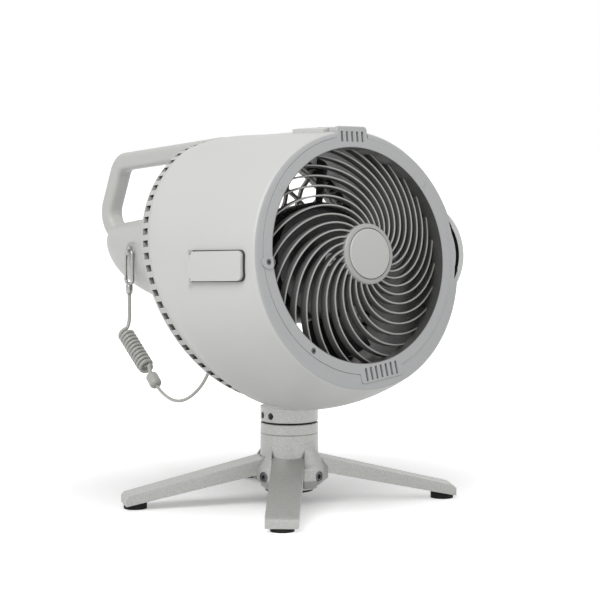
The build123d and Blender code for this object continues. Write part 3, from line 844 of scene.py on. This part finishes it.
def shade_by_angle():
    """A modifier group that merges loose triangles and keeps only sharp edges creased."""
    tree = bpy.data.node_groups.get("Shade by angle")
    if tree:
        return tree
    tree = bpy.data.node_groups.new("Shade by angle", "GeometryNodeTree")
    tree.interface.new_socket("Geometry", in_out="INPUT", socket_type="NodeSocketGeometry")
    angle = tree.interface.new_socket("Angle", in_out="INPUT", socket_type="NodeSocketFloat")
    angle.default_value = math.radians(32)
    tree.interface.new_socket("Geometry", in_out="OUTPUT", socket_type="NodeSocketGeometry")
    given = tree.nodes.new("NodeGroupInput")
    out = tree.nodes.new("NodeGroupOutput")
    merge = add(tree, "GeometryNodeMergeByDistance", {"Distance": MERGE_DISTANCE})
    feed(tree, given.outputs["Geometry"], merge.inputs["Geometry"])
    smooth = add(tree, "GeometryNodeSetShadeSmooth", domain="FACE")
    feed(tree, merge.outputs["Geometry"], smooth.inputs["Geometry"])
    bend = tree.nodes.new("GeometryNodeInputMeshEdgeAngle")
    sharp = add(tree, "FunctionNodeCompare", data_type="FLOAT", operation="GREATER_THAN")
    feed(tree, bend.outputs["Unsigned Angle"], sharp.inputs[0])
    feed(tree, given.outputs["Angle"], sharp.inputs[1])
    crease = add(tree, "GeometryNodeSetShadeSmooth", {"Shade Smooth": False}, domain="EDGE")
    feed(tree, smooth.outputs["Geometry"], crease.inputs["Geometry"])
    feed(tree, sharp.outputs[0], crease.inputs["Selection"])
    feed(tree, crease.outputs["Geometry"], out.inputs["Geometry"])
    return tree


def shade(piece, angle):
    """Smooth shading with creases on a piece or CAD node."""
    tree = shade_by_angle()
    modifier = piece.modifiers.new("Shade by angle", "NODES")
    modifier.node_group = tree
    key = next(item.identifier for item in tree.interface.items_tree if item.name == "Angle")
    modifier[key] = angle


def dress(context, material, *nodes):
    """Gives CAD nodes their finish and smooth shading."""
    for name in nodes:
        node = frame["nodes"].get(name)
        if node is None:
            raise RuntimeError(f"the packed part has no node {name}")
        node.data.materials.clear()
        node.data.materials.append(material)
        shade(node, context.scene.fan_sizes.smooth_angle)


def new_piece(name, mesh_form, material, body):
    """A new mesh piece that rides on a body."""
    mesh = bpy.data.meshes.new(name)
    mesh_form.to_mesh(mesh)
    mesh_form.free()
    mesh.materials.append(material)
    piece = bpy.data.objects.new(name, mesh)
    bpy.context.scene.collection.objects.link(piece)
    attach(piece, body)
    return piece


def eased(value, low, high):
    """A smooth step from 0 at low to 1 at high."""
    share = min(max((value - low) / (high - low), 0.0), 1.0)
    return share * share * (3.0 - 2.0 * share)


def merged_copy(node):
    """A copy of a CAD node's form with its loose triangles merged."""
    form = bmesh.new()
    form.from_mesh(frame["nodes"][node].data)
    bmesh.ops.remove_doubles(form, verts=form.verts[:], dist=MERGE_DISTANCE)
    return form


def join(form, other):
    """Adds another form to a form, and frees the other."""
    mesh = bpy.data.meshes.new("joined_form")
    other.to_mesh(mesh)
    other.free()
    form.from_mesh(mesh)
    bpy.data.meshes.remove(mesh)


def spun(form, profile, sides, place=None, material=0):
    """Adds a closed profile spun round the Z axis, with its points put where place says."""
    ring = bmesh.new()
    points = [ring.verts.new((reach, 0, along)) for reach, along in profile]
    pairs = zip(points, points[1:] + points[:1])
    edges = [ring.edges.new(pair) for pair in pairs if any(point.co.x > 0 for point in pair)]
    bmesh.ops.spin(
        ring,
        geom=points + edges,
        cent=(0, 0, 0),
        axis=(0, 0, 1),
        angle=2 * math.pi,
        steps=sides,
        use_merge=True,
    )
    bmesh.ops.remove_doubles(ring, verts=ring.verts[:], dist=1e-7)
    bmesh.ops.dissolve_degenerate(ring, edges=ring.edges[:], dist=1e-8)
    for face in ring.faces:
        face.material_index = material
    if place:
        for point in ring.verts:
            point.co = place(point.co)
    bmesh.ops.recalc_face_normals(ring, faces=ring.faces[:])
    join(form, ring)


def tube(rows, columns, place, bright=None):
    """A grid rolled up to a closed tube. Place gives a point from its share of the length and its column."""
    form = bmesh.new()
    bmesh.ops.create_grid(form, x_segments=rows, y_segments=columns, size=0.5)
    # Faces outside the bright columns take the second material, which the vanes use for painted shade on
    # their sides.
    if bright:
        for face in form.faces:
            column = int((face.calc_center_median().y + 0.5) * columns)
            face.material_index = 0 if column in bright else 1
    for point in form.verts:
        column = round((point.co.y + 0.5) * columns)
        point.co = place(point.co.x + 0.5, column % columns)
    bmesh.ops.remove_doubles(form, verts=form.verts[:], dist=1e-7)
    ends = [edge for edge in form.edges if edge.is_boundary]
    bmesh.ops.holes_fill(form, edges=ends, sides=columns)
    return form


def repeated(form, count):
    """Repeats a whole form evenly round the Z axis."""
    bmesh.ops.spin(
        form,
        geom=form.verts[:] + form.edges[:] + form.faces[:],
        cent=(0, 0, 0),
        axis=(0, 0, 1),
        angle=2 * math.pi * (count - 1) / count,
        steps=count - 1,
        use_duplicate=True,
    )


def rim_form(point, reach):
    """The rear rim with its slots on the drum's side, a wide opening and a small round behind."""
    share = min(max((RIM_START - point.z) / RIM_DEPTH, 0.0), 1.0)
    was = DRUM_RADIUS - 0.0051 * min(max(share - 0.2, 0.0), 0.56) - 0.0277 * max(share - 0.76, 0.0)
    now = DRUM_RADIUS - 0.0065 * eased(share, 0.72, 1.0)
    if reach > SLOT_FOOT:
        new_reach = SLOT_FOOT_SEEN + (reach - SLOT_FOOT) * (now - SLOT_FOOT_SEEN) / (was - SLOT_FOOT)
    elif reach > RIM_INNER:
        stretch = (SLOT_FOOT_SEEN - RIM_INNER_SEEN) / (SLOT_FOOT - RIM_INNER)
        new_reach = RIM_INNER_SEEN + (reach - RIM_INNER) * stretch
    else:
        stretch = (RIM_INNER_SEEN - RIM_INNER) / (RIM_INNER - BARS_INNER)
        new_reach = reach + max(reach - BARS_INNER, 0.0) * stretch
    weight = eased(reach, 0.105, 0.118)
    along = -0.036 - 0.018 * share
    return new_reach, point.z + (along - point.z) * weight


def leaned(x, up, along, share, sizes):
    """A point that leans back with the drum's rear edge, by a share from 0 to 1."""
    rise = up / max(math.hypot(x, up), 1e-6)
    upper = eased(rise, -0.6, 0.6) * (1.0 - 0.5 * eased(rise, 0.85, 1.0)) * share
    grow = 1.0 + sizes.rear_growth * upper
    slant = math.tan(sizes.rear_slant) * share
    return Vector((x * grow, up * grow + 0.00275 * upper, along - up * slant))


def lean_share(along):
    """How much a place along the axis leans: 0 in front and 1 at the rear edge."""
    return eased(-along, -0.020, 0.050)


def slanted(point, sizes):
    """Where a point of the drum goes when its rear edge leans back at the top."""
    reach = math.hypot(point.x, point.y)
    new_reach = reach
    along = point.z
    if point.z < RIM_EDGE:
        new_reach, along = rim_form(point, reach)
    elif reach > SKIN_INNER:
        along = point.z + SKIN_PULL * eased(-point.z, 0.0, 0.050)
    share = lean_share(point.z) * eased(reach, 0.075, 0.112)
    grow = new_reach / max(reach, 1e-6)
    return leaned(point.x * grow, point.y * grow, along, share, sizes)


def tucked(point, sizes):
    """The handle's front end, drawn down under the drum's edge."""
    sink = BAR_SINK * eased(point.z, -0.082, -0.056) * eased(point.y, 0.095, 0.110)
    return Vector((point.x, point.y - sink, point.z))


def painted_slot_shade(centre, normal):
    """Whether a face of the rear rim is a slot's wall or floor, inside the rim's rounded outline: these faces
    get painted shade.
    """
    reach = math.hypot(centre.x, centre.y)
    if reach < SLOT_FOOT - 0.0005:
        return False
    around = abs(normal.y * centre.x - normal.x * centre.y) / reach
    steep = 0.919
    gentle = 0.394
    outside = max(
        reach - DRUM_RADIUS,
        steep * (reach - DRUM_RADIUS) - gentle * (centre.z + 0.0525),
        gentle * (reach - 0.13165) - steep * (centre.z + 0.05915),
        RIM_START - RIM_DEPTH - centre.z,
    )
    return around > 0.7 or outside < -0.002


def drum_finish_and_shade(centre, normal):
    """The material of a face of the drum: 0 for the barrel, 1 for its front lip, 2 for painted shade in the
    grip recess.
    """
    inside_grip = math.hypot(centre.x - GRIP_CENTRE, centre.y) < GRIP_RADIUS
    outside_lug = math.hypot(centre.x - LUG_CENTRE, centre.y) > LUG_RADIUS
    if inside_grip and outside_lug and centre.x > 0.1 and centre.z > 0.090:
        wall = centre.z < 0.1115 and abs(normal.z) < 0.9
        # Faces in the grip recess get the painted shade.
        if wall or centre.z < 0.1:
            return 2
    return 1 if centre.z > LIP_START else 0


def reshaped(name, node, materials, sizes, move, finish=None, band=None):
    """A piece with a CAD node's form, its points moved in the head's frame."""
    form = merged_copy(node)
    for _ in range(3):
        long_edges = [edge for edge in form.edges if edge.calc_length() > 0.012]
        bmesh.ops.subdivide_edges(form, edges=long_edges, cuts=1)
    bmesh.ops.bisect_plane(
        form,
        geom=form.verts[:] + form.edges[:] + form.faces[:],
        dist=1e-7,
        plane_co=HEAD @ Vector((0, 0, LIP_START)),
        plane_no=HEAD.to_3x3() @ Vector((0, 0, 1)),
    )
    bmesh.ops.triangulate(form, faces=form.faces[:])
    back = HEAD.inverted()
    turned = back.to_3x3()
    # finish gives each face its material index: a finish of the part or a painted shade.
    if finish:
        form.normal_update()
        for face in form.faces:
            face.material_index = int(finish(back @ face.calc_center_median(), turned @ face.normal))
    for point in form.verts:
        point.co = HEAD @ move(back @ point.co, sizes)
    if band:
        spun(form, band, 144, lambda place: HEAD @ leaned(*place, 1.0, sizes))
    piece = new_piece(name, form, materials[0], "head")
    for material in materials[1:]:
        piece.data.materials.append(material)
    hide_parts(node)
    shade(piece, sizes.smooth_angle)
    return piece


def cover_gap_shade(material, sizes):
    """A thin dark sheet of painted shade in the gap round the port cover, from the cover's own side walls."""
    form = merged_copy("port_cover")
    back = HEAD.inverted()
    turned = back.to_3x3()
    places = [back @ point.co for point in form.verts]
    middle = sum(places, Vector()) / len(places)
    for point, place in zip(form.verts, places):
        tall = middle.y + (place.y - middle.y) * 1.065
        long = middle.z + (place.z - middle.z) * 1.022
        point.co = HEAD @ Vector((place.x + 0.0026, tall, long))
    form.normal_update()
    flat = [face for face in form.faces if abs((turned @ face.normal).x) > 0.6]
    bmesh.ops.delete(form, geom=flat, context="FACES")
    bmesh.ops.solidify(form, geom=form.faces[:], thickness=0.0006)
    shade(new_piece("cover_gap_painted_shade", form, material, "head"), sizes.smooth_angle)


def rotor_blades(sizes):
    """The cambered rotor blades from the hub to their tips."""
    half = 9

    def place(share, column):
        side = 1 if column < half else -1
        across = ((column % half) / (half - 1) - 0.5) * side
        reach = BLADE_ROOT + (BLADE_TIP - BLADE_ROOT) * share
        chord = 0.046 + 0.012 * share
        pitch = sizes.blade_pitch - math.radians(8) * share
        bow = 0.005 * (1 - 4 * across * across) + side * 0.0011 * (1 - 3.2 * across * across)
        wide = chord * across * math.cos(pitch) - bow * math.sin(pitch)
        deep = chord * across * math.sin(pitch) + bow * math.cos(pitch)
        angle = BLADE_START + wide / reach
        return Vector((reach * math.cos(angle), reach * math.sin(angle), BLADE_MIDDLE + deep))

    form = tube(10, 2 * half, place)
    repeated(form, BLADES)
    return form


def spiral_vanes(sizes):
    """The spiral vanes under the dome, with rounded front edges in the vane plastic and sides in a darker
    material of painted shade.
    """
    growth = VANE_OUTER - VANE_INNER
    half = sizes.vane_width / 2
    profile = (
        (half, -sizes.vane_depth),
        (half, -0.0005),
        (half * 0.55, 0.0),
        (-half * 0.55, 0.0),
        (-half, -0.0005),
        (-half, -sizes.vane_depth),
    )

    def place(share, column):
        wide, deep = profile[column]
        reach = VANE_INNER + growth * share
        angle = sizes.vane_sweep * share
        heading = angle + math.atan2(reach * sizes.vane_sweep, growth)
        front = math.sqrt(DOME_RADIUS**2 - min(reach, OPENING_RADIUS) ** 2) + DOME_CENTRE
        at = Vector((reach * math.cos(angle), reach * math.sin(angle), front + deep))
        return at + Vector((-math.sin(heading), math.cos(heading), 0)) * wide

    # Columns 1 to 3 make the front edge; the sides take the second material, a painted shade.
    form = tube(36, len(profile), place, bright=(1, 2, 3))
    repeated(form, VANES)
    return form


def socket_screw(radius, height):
    """One socket screw's head on the XY plane, as a mesh."""
    form = bmesh.new()
    sides = 24
    bmesh.ops.create_circle(form, cap_ends=True, segments=sides, radius=radius)
    disc = form.faces[:][0]
    raised = bmesh.ops.extrude_face_region(form, geom=[disc])["geom"]
    top_points = [item for item in raised if isinstance(item, bmesh.types.BMVert)]
    bmesh.ops.translate(form, verts=top_points, vec=(0, 0, height))
    rim = [edge for edge in form.edges if all(abs(point.co.z - height) < 1e-7 for point in edge.verts)]
    bmesh.ops.bevel(
        form,
        geom=rim,
        offset=radius * 0.16,
        offset_type="OFFSET",
        affect="EDGES",
        segments=3,
        profile=0.5,
        material=-1,
    )
    top = max(form.faces, key=lambda face: (len(face.verts) == sides, face.calc_center_median().z))
    bmesh.ops.inset_region(form, faces=[top], thickness=radius * 0.26)
    for point in top.verts:
        turn = math.atan2(point.co.y, point.co.x)
        part = turn % (math.pi / 3) - math.pi / 6
        reach = radius * 0.5 / math.cos(part)
        point.co.x = reach * math.cos(turn)
        point.co.y = reach * math.sin(turn)
    sunk = bmesh.ops.extrude_face_region(form, geom=[top])["geom"]
    sunk_points = [item for item in sunk if isinstance(item, bmesh.types.BMVert)]
    bmesh.ops.translate(form, verts=sunk_points, vec=(0, 0, -height * 0.7))
    bmesh.ops.delete(form, geom=[top], context="FACES_ONLY")
    bmesh.ops.remove_doubles(form, verts=form.verts[:], dist=1e-7)
    bmesh.ops.recalc_face_normals(form, faces=form.faces[:])
    mesh = bpy.data.meshes.new("socket_screw_form")
    form.to_mesh(mesh)
    form.free()
    return mesh


def screw_set(name, radius, height, places, material, body, node, angle):
    """Socket screws at several places, as one piece that stands for a CAD node."""
    pattern = socket_screw(radius, height)
    form = bmesh.new()
    for place in places:
        before = len(form.verts)
        form.from_mesh(pattern)
        form.verts.ensure_lookup_table()
        bmesh.ops.transform(form, matrix=place, verts=form.verts[before:])
    bpy.data.meshes.remove(pattern)
    piece = new_piece(name, form, material, body)
    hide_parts(node)
    shade(piece, angle)
    return piece


def ring_place(degrees, along):
    """A place on the front ring's circle of screws, facing forward."""
    turn = Matrix.Rotation(math.radians(degrees), 4, "Z")
    return HEAD @ turn @ Matrix.Translation((RING_SCREW_REACH, 0, along))


def column_place(degrees, reach, height):
    """A place on the column's side, facing outward."""
    turn = Matrix.Rotation(math.radians(degrees), 4, "Z")
    outward = Matrix.Rotation(math.radians(90), 4, "Y")
    return Matrix.Translation(COLUMN) @ turn @ Matrix.Translation((reach, 0, height)) @ outward


def thickened(name, node, material, body, growth):
    """A piece with a CAD node's form, stouter all round by the growth."""
    form = merged_copy(node)
    form.normal_update()
    places = [point.co + point.normal * growth for point in form.verts]
    for point, place in zip(form.verts, places):
        point.co = place
    piece = new_piece(name, form, material, body)
    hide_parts(node)
    shade(piece, math.radians(60))
    return piece


def round_cord(name, points, width, material, body):
    """A cord on a smooth spline through its route."""
    line = bpy.data.curves.new(name, "CURVE")
    line.dimensions = "3D"
    line.resolution_u = 8
    line.bevel_depth = width / 2
    line.bevel_resolution = 5
    line.use_fill_caps = True
    spline = line.splines.new("NURBS")
    spline.points.add(len(points) - 1)
    for control, point in zip(spline.points, points):
        control.co = (*point, 1.0)
    spline.order_u = 3
    spline.use_endpoint_u = True
    line.materials.append(material)
    piece = bpy.data.objects.new(name, line)
    bpy.context.scene.collection.objects.link(piece)
    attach(piece, body)
    return piece


# Operators


class FAN_OT_shell(bpy.types.Operator):
    """Make the drum, rear grille and housing, and finish the top pad, button and port cover"""

    bl_idname = "drum_fan.shell"
    bl_label = "Drum"

    def execute(self, context):
        colours = context.scene.fan_colours
        sizes = context.scene.fan_sizes
        shell = moulded_plastic("Drum plastic", colours.shell, 0.40)
        housing = moulded_plastic("Housing plastic", colours.housing, 0.42)
        button = moulded_plastic("Button plastic", colours.ring, 0.32, grain=1400.0)
        # Painted shade: the rotor's dark plastic laid in the rim's slots, the grip recess and the gap round
        # the port cover.
        inside = moulded_plastic("Painted recess shade", colours.rotor, 0.5, grain=700.0, tone=0.12)
        lip = moulded_plastic("Lip plastic", colours.ring, 0.34, grain=1200.0)
        dress(context, shell, "top_pad", "port_cover")
        dress(context, button, "power_button")
        # The drum's grip recess takes the painted shade.
        reshaped("drum_barrel", "drum_shell", [shell, lip, inside], sizes, slanted, drum_finish_and_shade)
        # Painted shade in the gap round the port cover.
        cover_gap_shade(inside, sizes)
        reshaped("handle_housing", "rear_housing", [housing], sizes, tucked)
        # The rim's slot walls and floors take the painted shade.
        reshaped(
            "rear_rim_grille", "rear_grille", [housing, inside], sizes, slanted, painted_slot_shade, RIM_BAND
        )
        return {"FINISHED"}


class FAN_OT_front(bpy.types.Operator):
    """Make the spiral grille, and finish the front ring and hub disc"""

    bl_idname = "drum_fan.front"
    bl_label = "Front grille"

    def execute(self, context):
        colours = context.scene.fan_colours
        ring = moulded_plastic("Ring plastic", colours.ring, 0.34, grain=1200.0)
        # Painted shade: the ring's bore blends to the duct's dark colour.
        paint_bore_shade(ring, colours.duct, 0.1037, 0.1044)
        bright = moulded_plastic("Vane plastic", colours.vane, 0.33, grain=1400.0, depth=0.00004)
        cap = spun_disc("Spun disc", colours.cap, 0.34)
        sizes = context.scene.fan_sizes
        # Painted shade: a darker copy of the vane plastic on the vanes' sides and on the grille's rim.
        side = moulded_plastic("Vane side painted shade", colours.vane_side_shade, 0.38, grain=1400.0)
        form = spiral_vanes(sizes)
        # The grille's rim takes the painted shade as well.
        spun(form, GRILLE_RIM, 96, material=1)
        spun(form, GRILLE_HUB, 72)
        bmesh.ops.transform(form, matrix=HEAD, verts=form.verts[:])
        bmesh.ops.recalc_face_normals(form, faces=form.faces[:])
        grille = new_piece("spiral_grille", form, bright, "head")
        grille.data.materials.append(side)
        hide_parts("front_grille")
        shade(grille, math.radians(50))
        dress(context, ring, "front_ring")
        dress(context, cap, "hub_cap")
        return {"FINISHED"}


class FAN_OT_blower(bpy.types.Operator):
    """Make the rotor and duct, and finish the motor"""

    bl_idname = "drum_fan.blower"
    bl_label = "Blower"

    def execute(self, context):
        colours = context.scene.fan_colours
        sizes = context.scene.fan_sizes
        gloss = moulded_plastic("Rotor plastic", colours.rotor, 0.22, grain=500.0, depth=0.00002, tone=0.2)
        dark = moulded_plastic("Duct plastic", colours.duct, 0.42, grain=700.0, tone=0.12)
        steel = line_metal("Turned steel", colours.steel, 0.28, "Y")
        dress(context, gloss, "motor_can")
        form = rotor_blades(sizes)
        spun(form, ROTOR_CUP, 96)
        bmesh.ops.transform(form, matrix=HEAD, verts=form.verts[:])
        bmesh.ops.recalc_face_normals(form, faces=form.faces[:])
        rotor = new_piece("pitched_rotor", form, gloss, "rotor")
        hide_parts("fan_rotor")
        shade(rotor, sizes.smooth_angle)
        dress(context, dark, "motor_mount")
        form = bmesh.new()
        outside = tuple((reach + DUCT_THICKNESS, along) for reach, along in DUCT_WALL[::-1])

        def lean_with_drum(place):
            return HEAD @ leaned(*place, lean_share(place.z), sizes)

        spun(form, (*DUCT_WALL, *outside), 120, lean_with_drum)
        duct = new_piece("flared_duct", form, dark, "head")
        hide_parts("air_duct")
        shade(duct, sizes.smooth_angle)
        dress(context, steel, "bearing_front", "bearing_rear", "magnet_rotor", "motor_shaft", "rotor_nut")
        dress(context, wound_copper("Copper winding"), "stator")
        return {"FINISHED"}


class FAN_OT_power(bpy.types.Operator):
    """Finish the cells, their tray, the control board and the port panel"""

    bl_idname = "drum_fan.power"
    bl_label = "Power parts"

    def execute(self, context):
        colours = context.scene.fan_colours
        dark = moulded_plastic("Panel plastic", colours.duct, 0.5, grain=1100.0, tone=0.1)
        pin = line_metal("Pin steel", colours.steel, 0.3, "Z")
        dress(context, cell_wrap("Cell wrap"), "battery_cells")
        dress(context, dark, "battery_tray", "port_panel")
        dress(context, circuit_board("Board lacquer"), "control_board")
        dress(context, pin, "cover_pin")
        return {"FINISHED"}


class FAN_OT_stand(bpy.types.Operator):
    """Finish the collar, column, legs, feet and pins"""

    bl_idname = "drum_fan.stand"
    bl_label = "Stand"

    def execute(self, context):
        colours = context.scene.fan_colours
        paint = flake_paint("Silver paint", colours.paint, 0.36, 0.45)
        steel = line_metal("Stand steel", colours.steel, 0.3, "Z")
        rubber = moulded_plastic(
            "Foot rubber", colours.rubber, 0.75, grain=600.0, depth=0.0002, tone=0.4, gloss=0.1, specular=0.3
        )
        sides = ("right", "rear", "left", "front")
        dress(context, paint, "collar", "swivel_ring", "column_base")
        dress(context, paint, *[f"leg_{side}" for side in sides])
        dress(context, steel, "swivel_spindle", "spindle_nut")
        dress(context, steel, *[f"pin_{side}" for side in sides])
        dress(context, rubber, "friction_washer", "base_plate")
        dress(context, rubber, *[f"foot_{side}" for side in sides])
        return {"FINISHED"}


class FAN_OT_screws(bpy.types.Operator):
    """Make the socket screws of the ring, collar and base, and the ring's plugs"""

    bl_idname = "drum_fan.screws"
    bl_label = "Socket screws"

    def execute(self, context):
        sizes = context.scene.fan_sizes
        colours = context.scene.fan_colours
        metal = line_metal("Dark screw steel", colours.screw, 0.3, "Z", 4000.0)
        ring_places = [ring_place(*place) for place in RING_SCREW_PLACES]
        screw_set(
            "ring_socket_screws", sizes.ring_screw, 0.002, ring_places, metal, "head", "ring_screws",
            sizes.smooth_angle,
        )
        plug = moulded_plastic("Plug plastic", colours.ring, 0.34, grain=1200.0)
        form = bmesh.new()
        for place in PLUG_PLACES:
            disc = bmesh.new()
            spun(disc, PLUG, 32)
            bmesh.ops.transform(disc, matrix=ring_place(*place), verts=disc.verts[:])
            join(form, disc)
        shade(new_piece("ring_plugs", form, plug, "head"), sizes.smooth_angle)
        collar_places = [column_place(degrees, 0.024, 0.0888) for degrees in COLLAR_SCREW_TURNS]
        screw_set(
            "collar_socket_screws", sizes.collar_screw, 0.0026, collar_places, metal, "head", "collar_screws",
            sizes.smooth_angle,
        )
        base_places = [column_place(degrees, 0.0365, 0.0295) for degrees in BASE_SCREW_TURNS]
        screw_set(
            "base_socket_screws", sizes.base_screw, 0.0034, base_places, metal, "stand", "base_screws",
            sizes.smooth_angle,
        )
        return {"FINISHED"}


class FAN_OT_lanyard(bpy.types.Operator):
    """Make the curly lanyard with its hook, ferrule, bulb and loose end"""

    bl_idname = "drum_fan.lanyard"
    bl_label = "Lanyard"

    def execute(self, context):
        sizes = context.scene.fan_sizes
        colours = context.scene.fan_colours
        zinc = flake_paint("Hook zinc", colours.zinc, 0.3, 0.9)
        soft = moulded_plastic("Cord plastic", colours.cord, 0.38, grain=1500.0, tone=0.1)
        thickened("stout_hook", "snap_hook", zinc, "head", 0.0007)
        thickened("stout_gate", "snap_gate", zinc, "gate", 0.0005)
        thickened("stout_ferrule", "cord_ferrule", zinc, "head", 0.0010)
        bulb = thickened("stout_bulb", "cord_bulb", soft, "head", 0.0018)
        eye = HEAD @ LANYARD_EYE
        ferrule_top = eye.z - FERRULE_DROP
        top = Vector((eye.x, eye.y, ferrule_top - 0.009))
        drop = Vector((eye.x, eye.y, ferrule_top - 0.038))
        start = Vector((eye.x - 0.003, eye.y + 0.0035, ferrule_top - 0.052))
        axis = COIL_RUN.normalized()
        across = axis.cross(Vector((1, 0, 0))).normalized()
        third = axis.cross(across)
        route = [top, Vector((eye.x, eye.y, ferrule_top - 0.024)), drop]
        steps = COIL_STEPS * sizes.coil_turns
        for step in range(steps + 1):
            turn = 2 * math.pi * step / COIL_STEPS
            share = step / steps
            wide = sizes.coil_radius * (1.0 - 0.3 * eased(share, 0.9, 1.0))
            curl = (across * math.cos(turn) + third * math.sin(turn)) * wide
            route.append(start + COIL_RUN * share + curl)
        bulb_start = Vector((eye.x - 0.0081, eye.y - 0.0512, ferrule_top - 0.0896))
        bulb_low = bulb_start + BULB_AXIS * 0.003
        route += [bulb_start + BULB_AXIS * 0.001, bulb_low + BULB_AXIS * 0.002]
        coil = round_cord("curly_cord", route, sizes.cord_width, soft, "head")
        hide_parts("lanyard_coil")
        side = TIE_REACH * math.cos(TIE_TURN)
        rise = TIE_REACH * math.sin(TIE_TURN)
        tie = HEAD @ leaned(side, rise, TIE_PLACE, 1.0, sizes)
        tail = bulb_low + BULB_AXIS * 0.0142
        hanging = [COLUMN + Vector(place) for place in LOOSE_ROUTE]
        loose = [tail, tail + BULB_AXIS * 0.006, *hanging, tie]
        end = round_cord("loose_end", loose, sizes.tail_width, soft, "head")
        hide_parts("lanyard_tail")
        return {"FINISHED"}


class FAN_OT_stage(bpy.types.Operator):
    """Set up the floor, room light, lamps and camera"""

    bl_idname = "drum_fan.stage"
    bl_label = "Stage"

    def floor(self, settings):
        """A floor that glows white for the camera and in reflections, less near the fan: this keeps the
        shadow near the fan and paints the floor darker round the fan's base.
        """
        form = bmesh.new()
        bmesh.ops.create_grid(form, x_segments=2, y_segments=2, size=12.0)
        mesh = bpy.data.meshes.new("studio_floor")
        form.to_mesh(mesh)
        form.free()
        material = bpy.data.materials.new("Studio floor")
        material.use_nodes = True
        tree = material.node_tree
        tree.nodes.remove(tree.nodes["Principled BSDF"])
        matt = add(tree, "ShaderNodeBsdfDiffuse", {"Color": (0.85, 0.85, 0.85, 1.0)})
        lift = add(tree, "ShaderNodeEmission", {"Color": (1.0, 1.0, 1.0, 1.0)})
        place = add(tree, "ShaderNodeTexCoord").outputs["Object"]
        away = add(tree, "ShaderNodeVectorMath", operation="LENGTH")
        feed(tree, place, away.inputs[0])
        # The glow rises from the floor lift near the fan to full white by 0.44 m: the weaker glow near the
        # fan is painted shade.
        level = add(tree, "ShaderNodeMapRange", {"From Min": 0.08, "From Max": 0.44, "To Max": 1.0})
        level.inputs["To Min"].default_value = settings.floor_lift
        feed(tree, away.outputs["Value"], level.inputs["Value"])
        feed(tree, sums(tree, "MULTIPLY", seen_rays(tree), level.outputs["Result"]), lift.inputs["Strength"])
        both = tree.nodes.new("ShaderNodeAddShader")
        feed(tree, matt.outputs[0], both.inputs[0])
        feed(tree, lift.outputs[0], both.inputs[1])
        feed(tree, both.outputs[0], tree.nodes["Material Output"].inputs["Surface"])
        mesh.materials.append(material)
        floor = bpy.data.objects.new("studio_floor", mesh)
        bpy.context.scene.collection.objects.link(floor)

    def room(self, settings):
        """An even light from all round that looks white itself."""
        world = bpy.data.worlds.new("Studio room")
        bpy.context.scene.world = world
        world.use_nodes = True
        tree = world.node_tree
        tree.nodes.clear()
        out = tree.nodes.new("ShaderNodeOutputWorld")
        light = add(tree, "ShaderNodeBackground", {"Color": (1.0, 1.0, 1.0, 1.0)})
        light.inputs["Strength"].default_value = settings.world_level
        white = add(tree, "ShaderNodeBackground", {"Color": (1.0, 1.0, 1.0, 1.0)})
        both = tree.nodes.new("ShaderNodeMixShader")
        feed(tree, seen_rays(tree), both.inputs[0])
        feed(tree, light.outputs[0], both.inputs[1])
        feed(tree, white.outputs[0], both.inputs[2])
        feed(tree, both.outputs[0], out.inputs["Surface"])

    def lamp(self, name, power, size, place, aim):
        """A round lamp that faces its aim."""
        light = bpy.data.lights.new(name, "AREA")
        light.energy = power
        light.shape = "DISK"
        light.size = size
        lamp = bpy.data.objects.new(name, light)
        lamp.location = place
        lamp.rotation_euler = (Vector(aim) - Vector(place)).to_track_quat("-Z", "Y").to_euler()
        bpy.context.scene.collection.objects.link(lamp)

    def execute(self, context):
        settings = context.scene.fan_stage
        self.floor(settings)
        self.room(settings)
        self.lamp("key_lamp", settings.key_power, 1.6, (-1.5, -0.7, 1.9), (0.0, -0.05, 0.2))
        self.lamp("fill_lamp", settings.fill_power, 1.6, (1.3, -1.6, 1.3), (0.0, -0.1, 0.2))
        camera = bpy.data.objects.new("camera", bpy.data.cameras.new("camera"))
        camera.data.sensor_width = 36.0
        camera.data.lens = settings.lens
        camera.location = settings.camera_place
        camera.rotation_euler = settings.camera_turn
        context.scene.collection.objects.link(camera)
        context.scene.camera = camera
        context.scene.view_settings.view_transform = "Standard"
        return {"FINISHED"}


class FAN_PT_panel(bpy.types.Panel):
    """Lists the fan's settings and operators"""

    bl_idname = "FAN_PT_panel"
    bl_label = "Drum Fan"
    bl_space_type = "VIEW_3D"
    bl_region_type = "UI"
    bl_category = "Drum Fan"

    def draw(self, context):
        for settings in (context.scene.fan_colours, context.scene.fan_sizes, context.scene.fan_stage):
            box = self.layout.box()
            for name in settings.__annotations__:
                box.prop(settings, name)
        for operator in OPERATORS:
            self.layout.operator(operator.bl_idname)


SETTINGS = (FanColours, FanSizes, FanStage)
OPERATORS = (
    FAN_OT_shell,
    FAN_OT_front,
    FAN_OT_blower,
    FAN_OT_power,
    FAN_OT_stand,
    FAN_OT_screws,
    FAN_OT_lanyard,
    FAN_OT_stage,
)


def register():
    """Registers the settings, operators and panel."""
    for item in (*SETTINGS, *OPERATORS, FAN_PT_panel):
        bpy.utils.register_class(item)
    bpy.types.Scene.fan_colours = bpy.props.PointerProperty(type=FanColours)
    bpy.types.Scene.fan_sizes = bpy.props.PointerProperty(type=FanSizes)
    bpy.types.Scene.fan_stage = bpy.props.PointerProperty(type=FanStage)


def unregister():
    """Removes what register added."""
    del bpy.types.Scene.fan_stage
    del bpy.types.Scene.fan_sizes
    del bpy.types.Scene.fan_colours
    for item in reversed((*SETTINGS, *OPERATORS, FAN_PT_panel)):
        bpy.utils.unregister_class(item)


def main():
    """Dresses the fan and sets the stage."""
    register()
    bpy.ops.drum_fan.shell()
    bpy.ops.drum_fan.front()
    bpy.ops.drum_fan.blower()
    bpy.ops.drum_fan.power()
    bpy.ops.drum_fan.stand()
    bpy.ops.drum_fan.screws()
    bpy.ops.drum_fan.lanyard()
    bpy.ops.drum_fan.stage()
    bpy.context.view_layer.update()


if __name__ == "__main__":
    main()
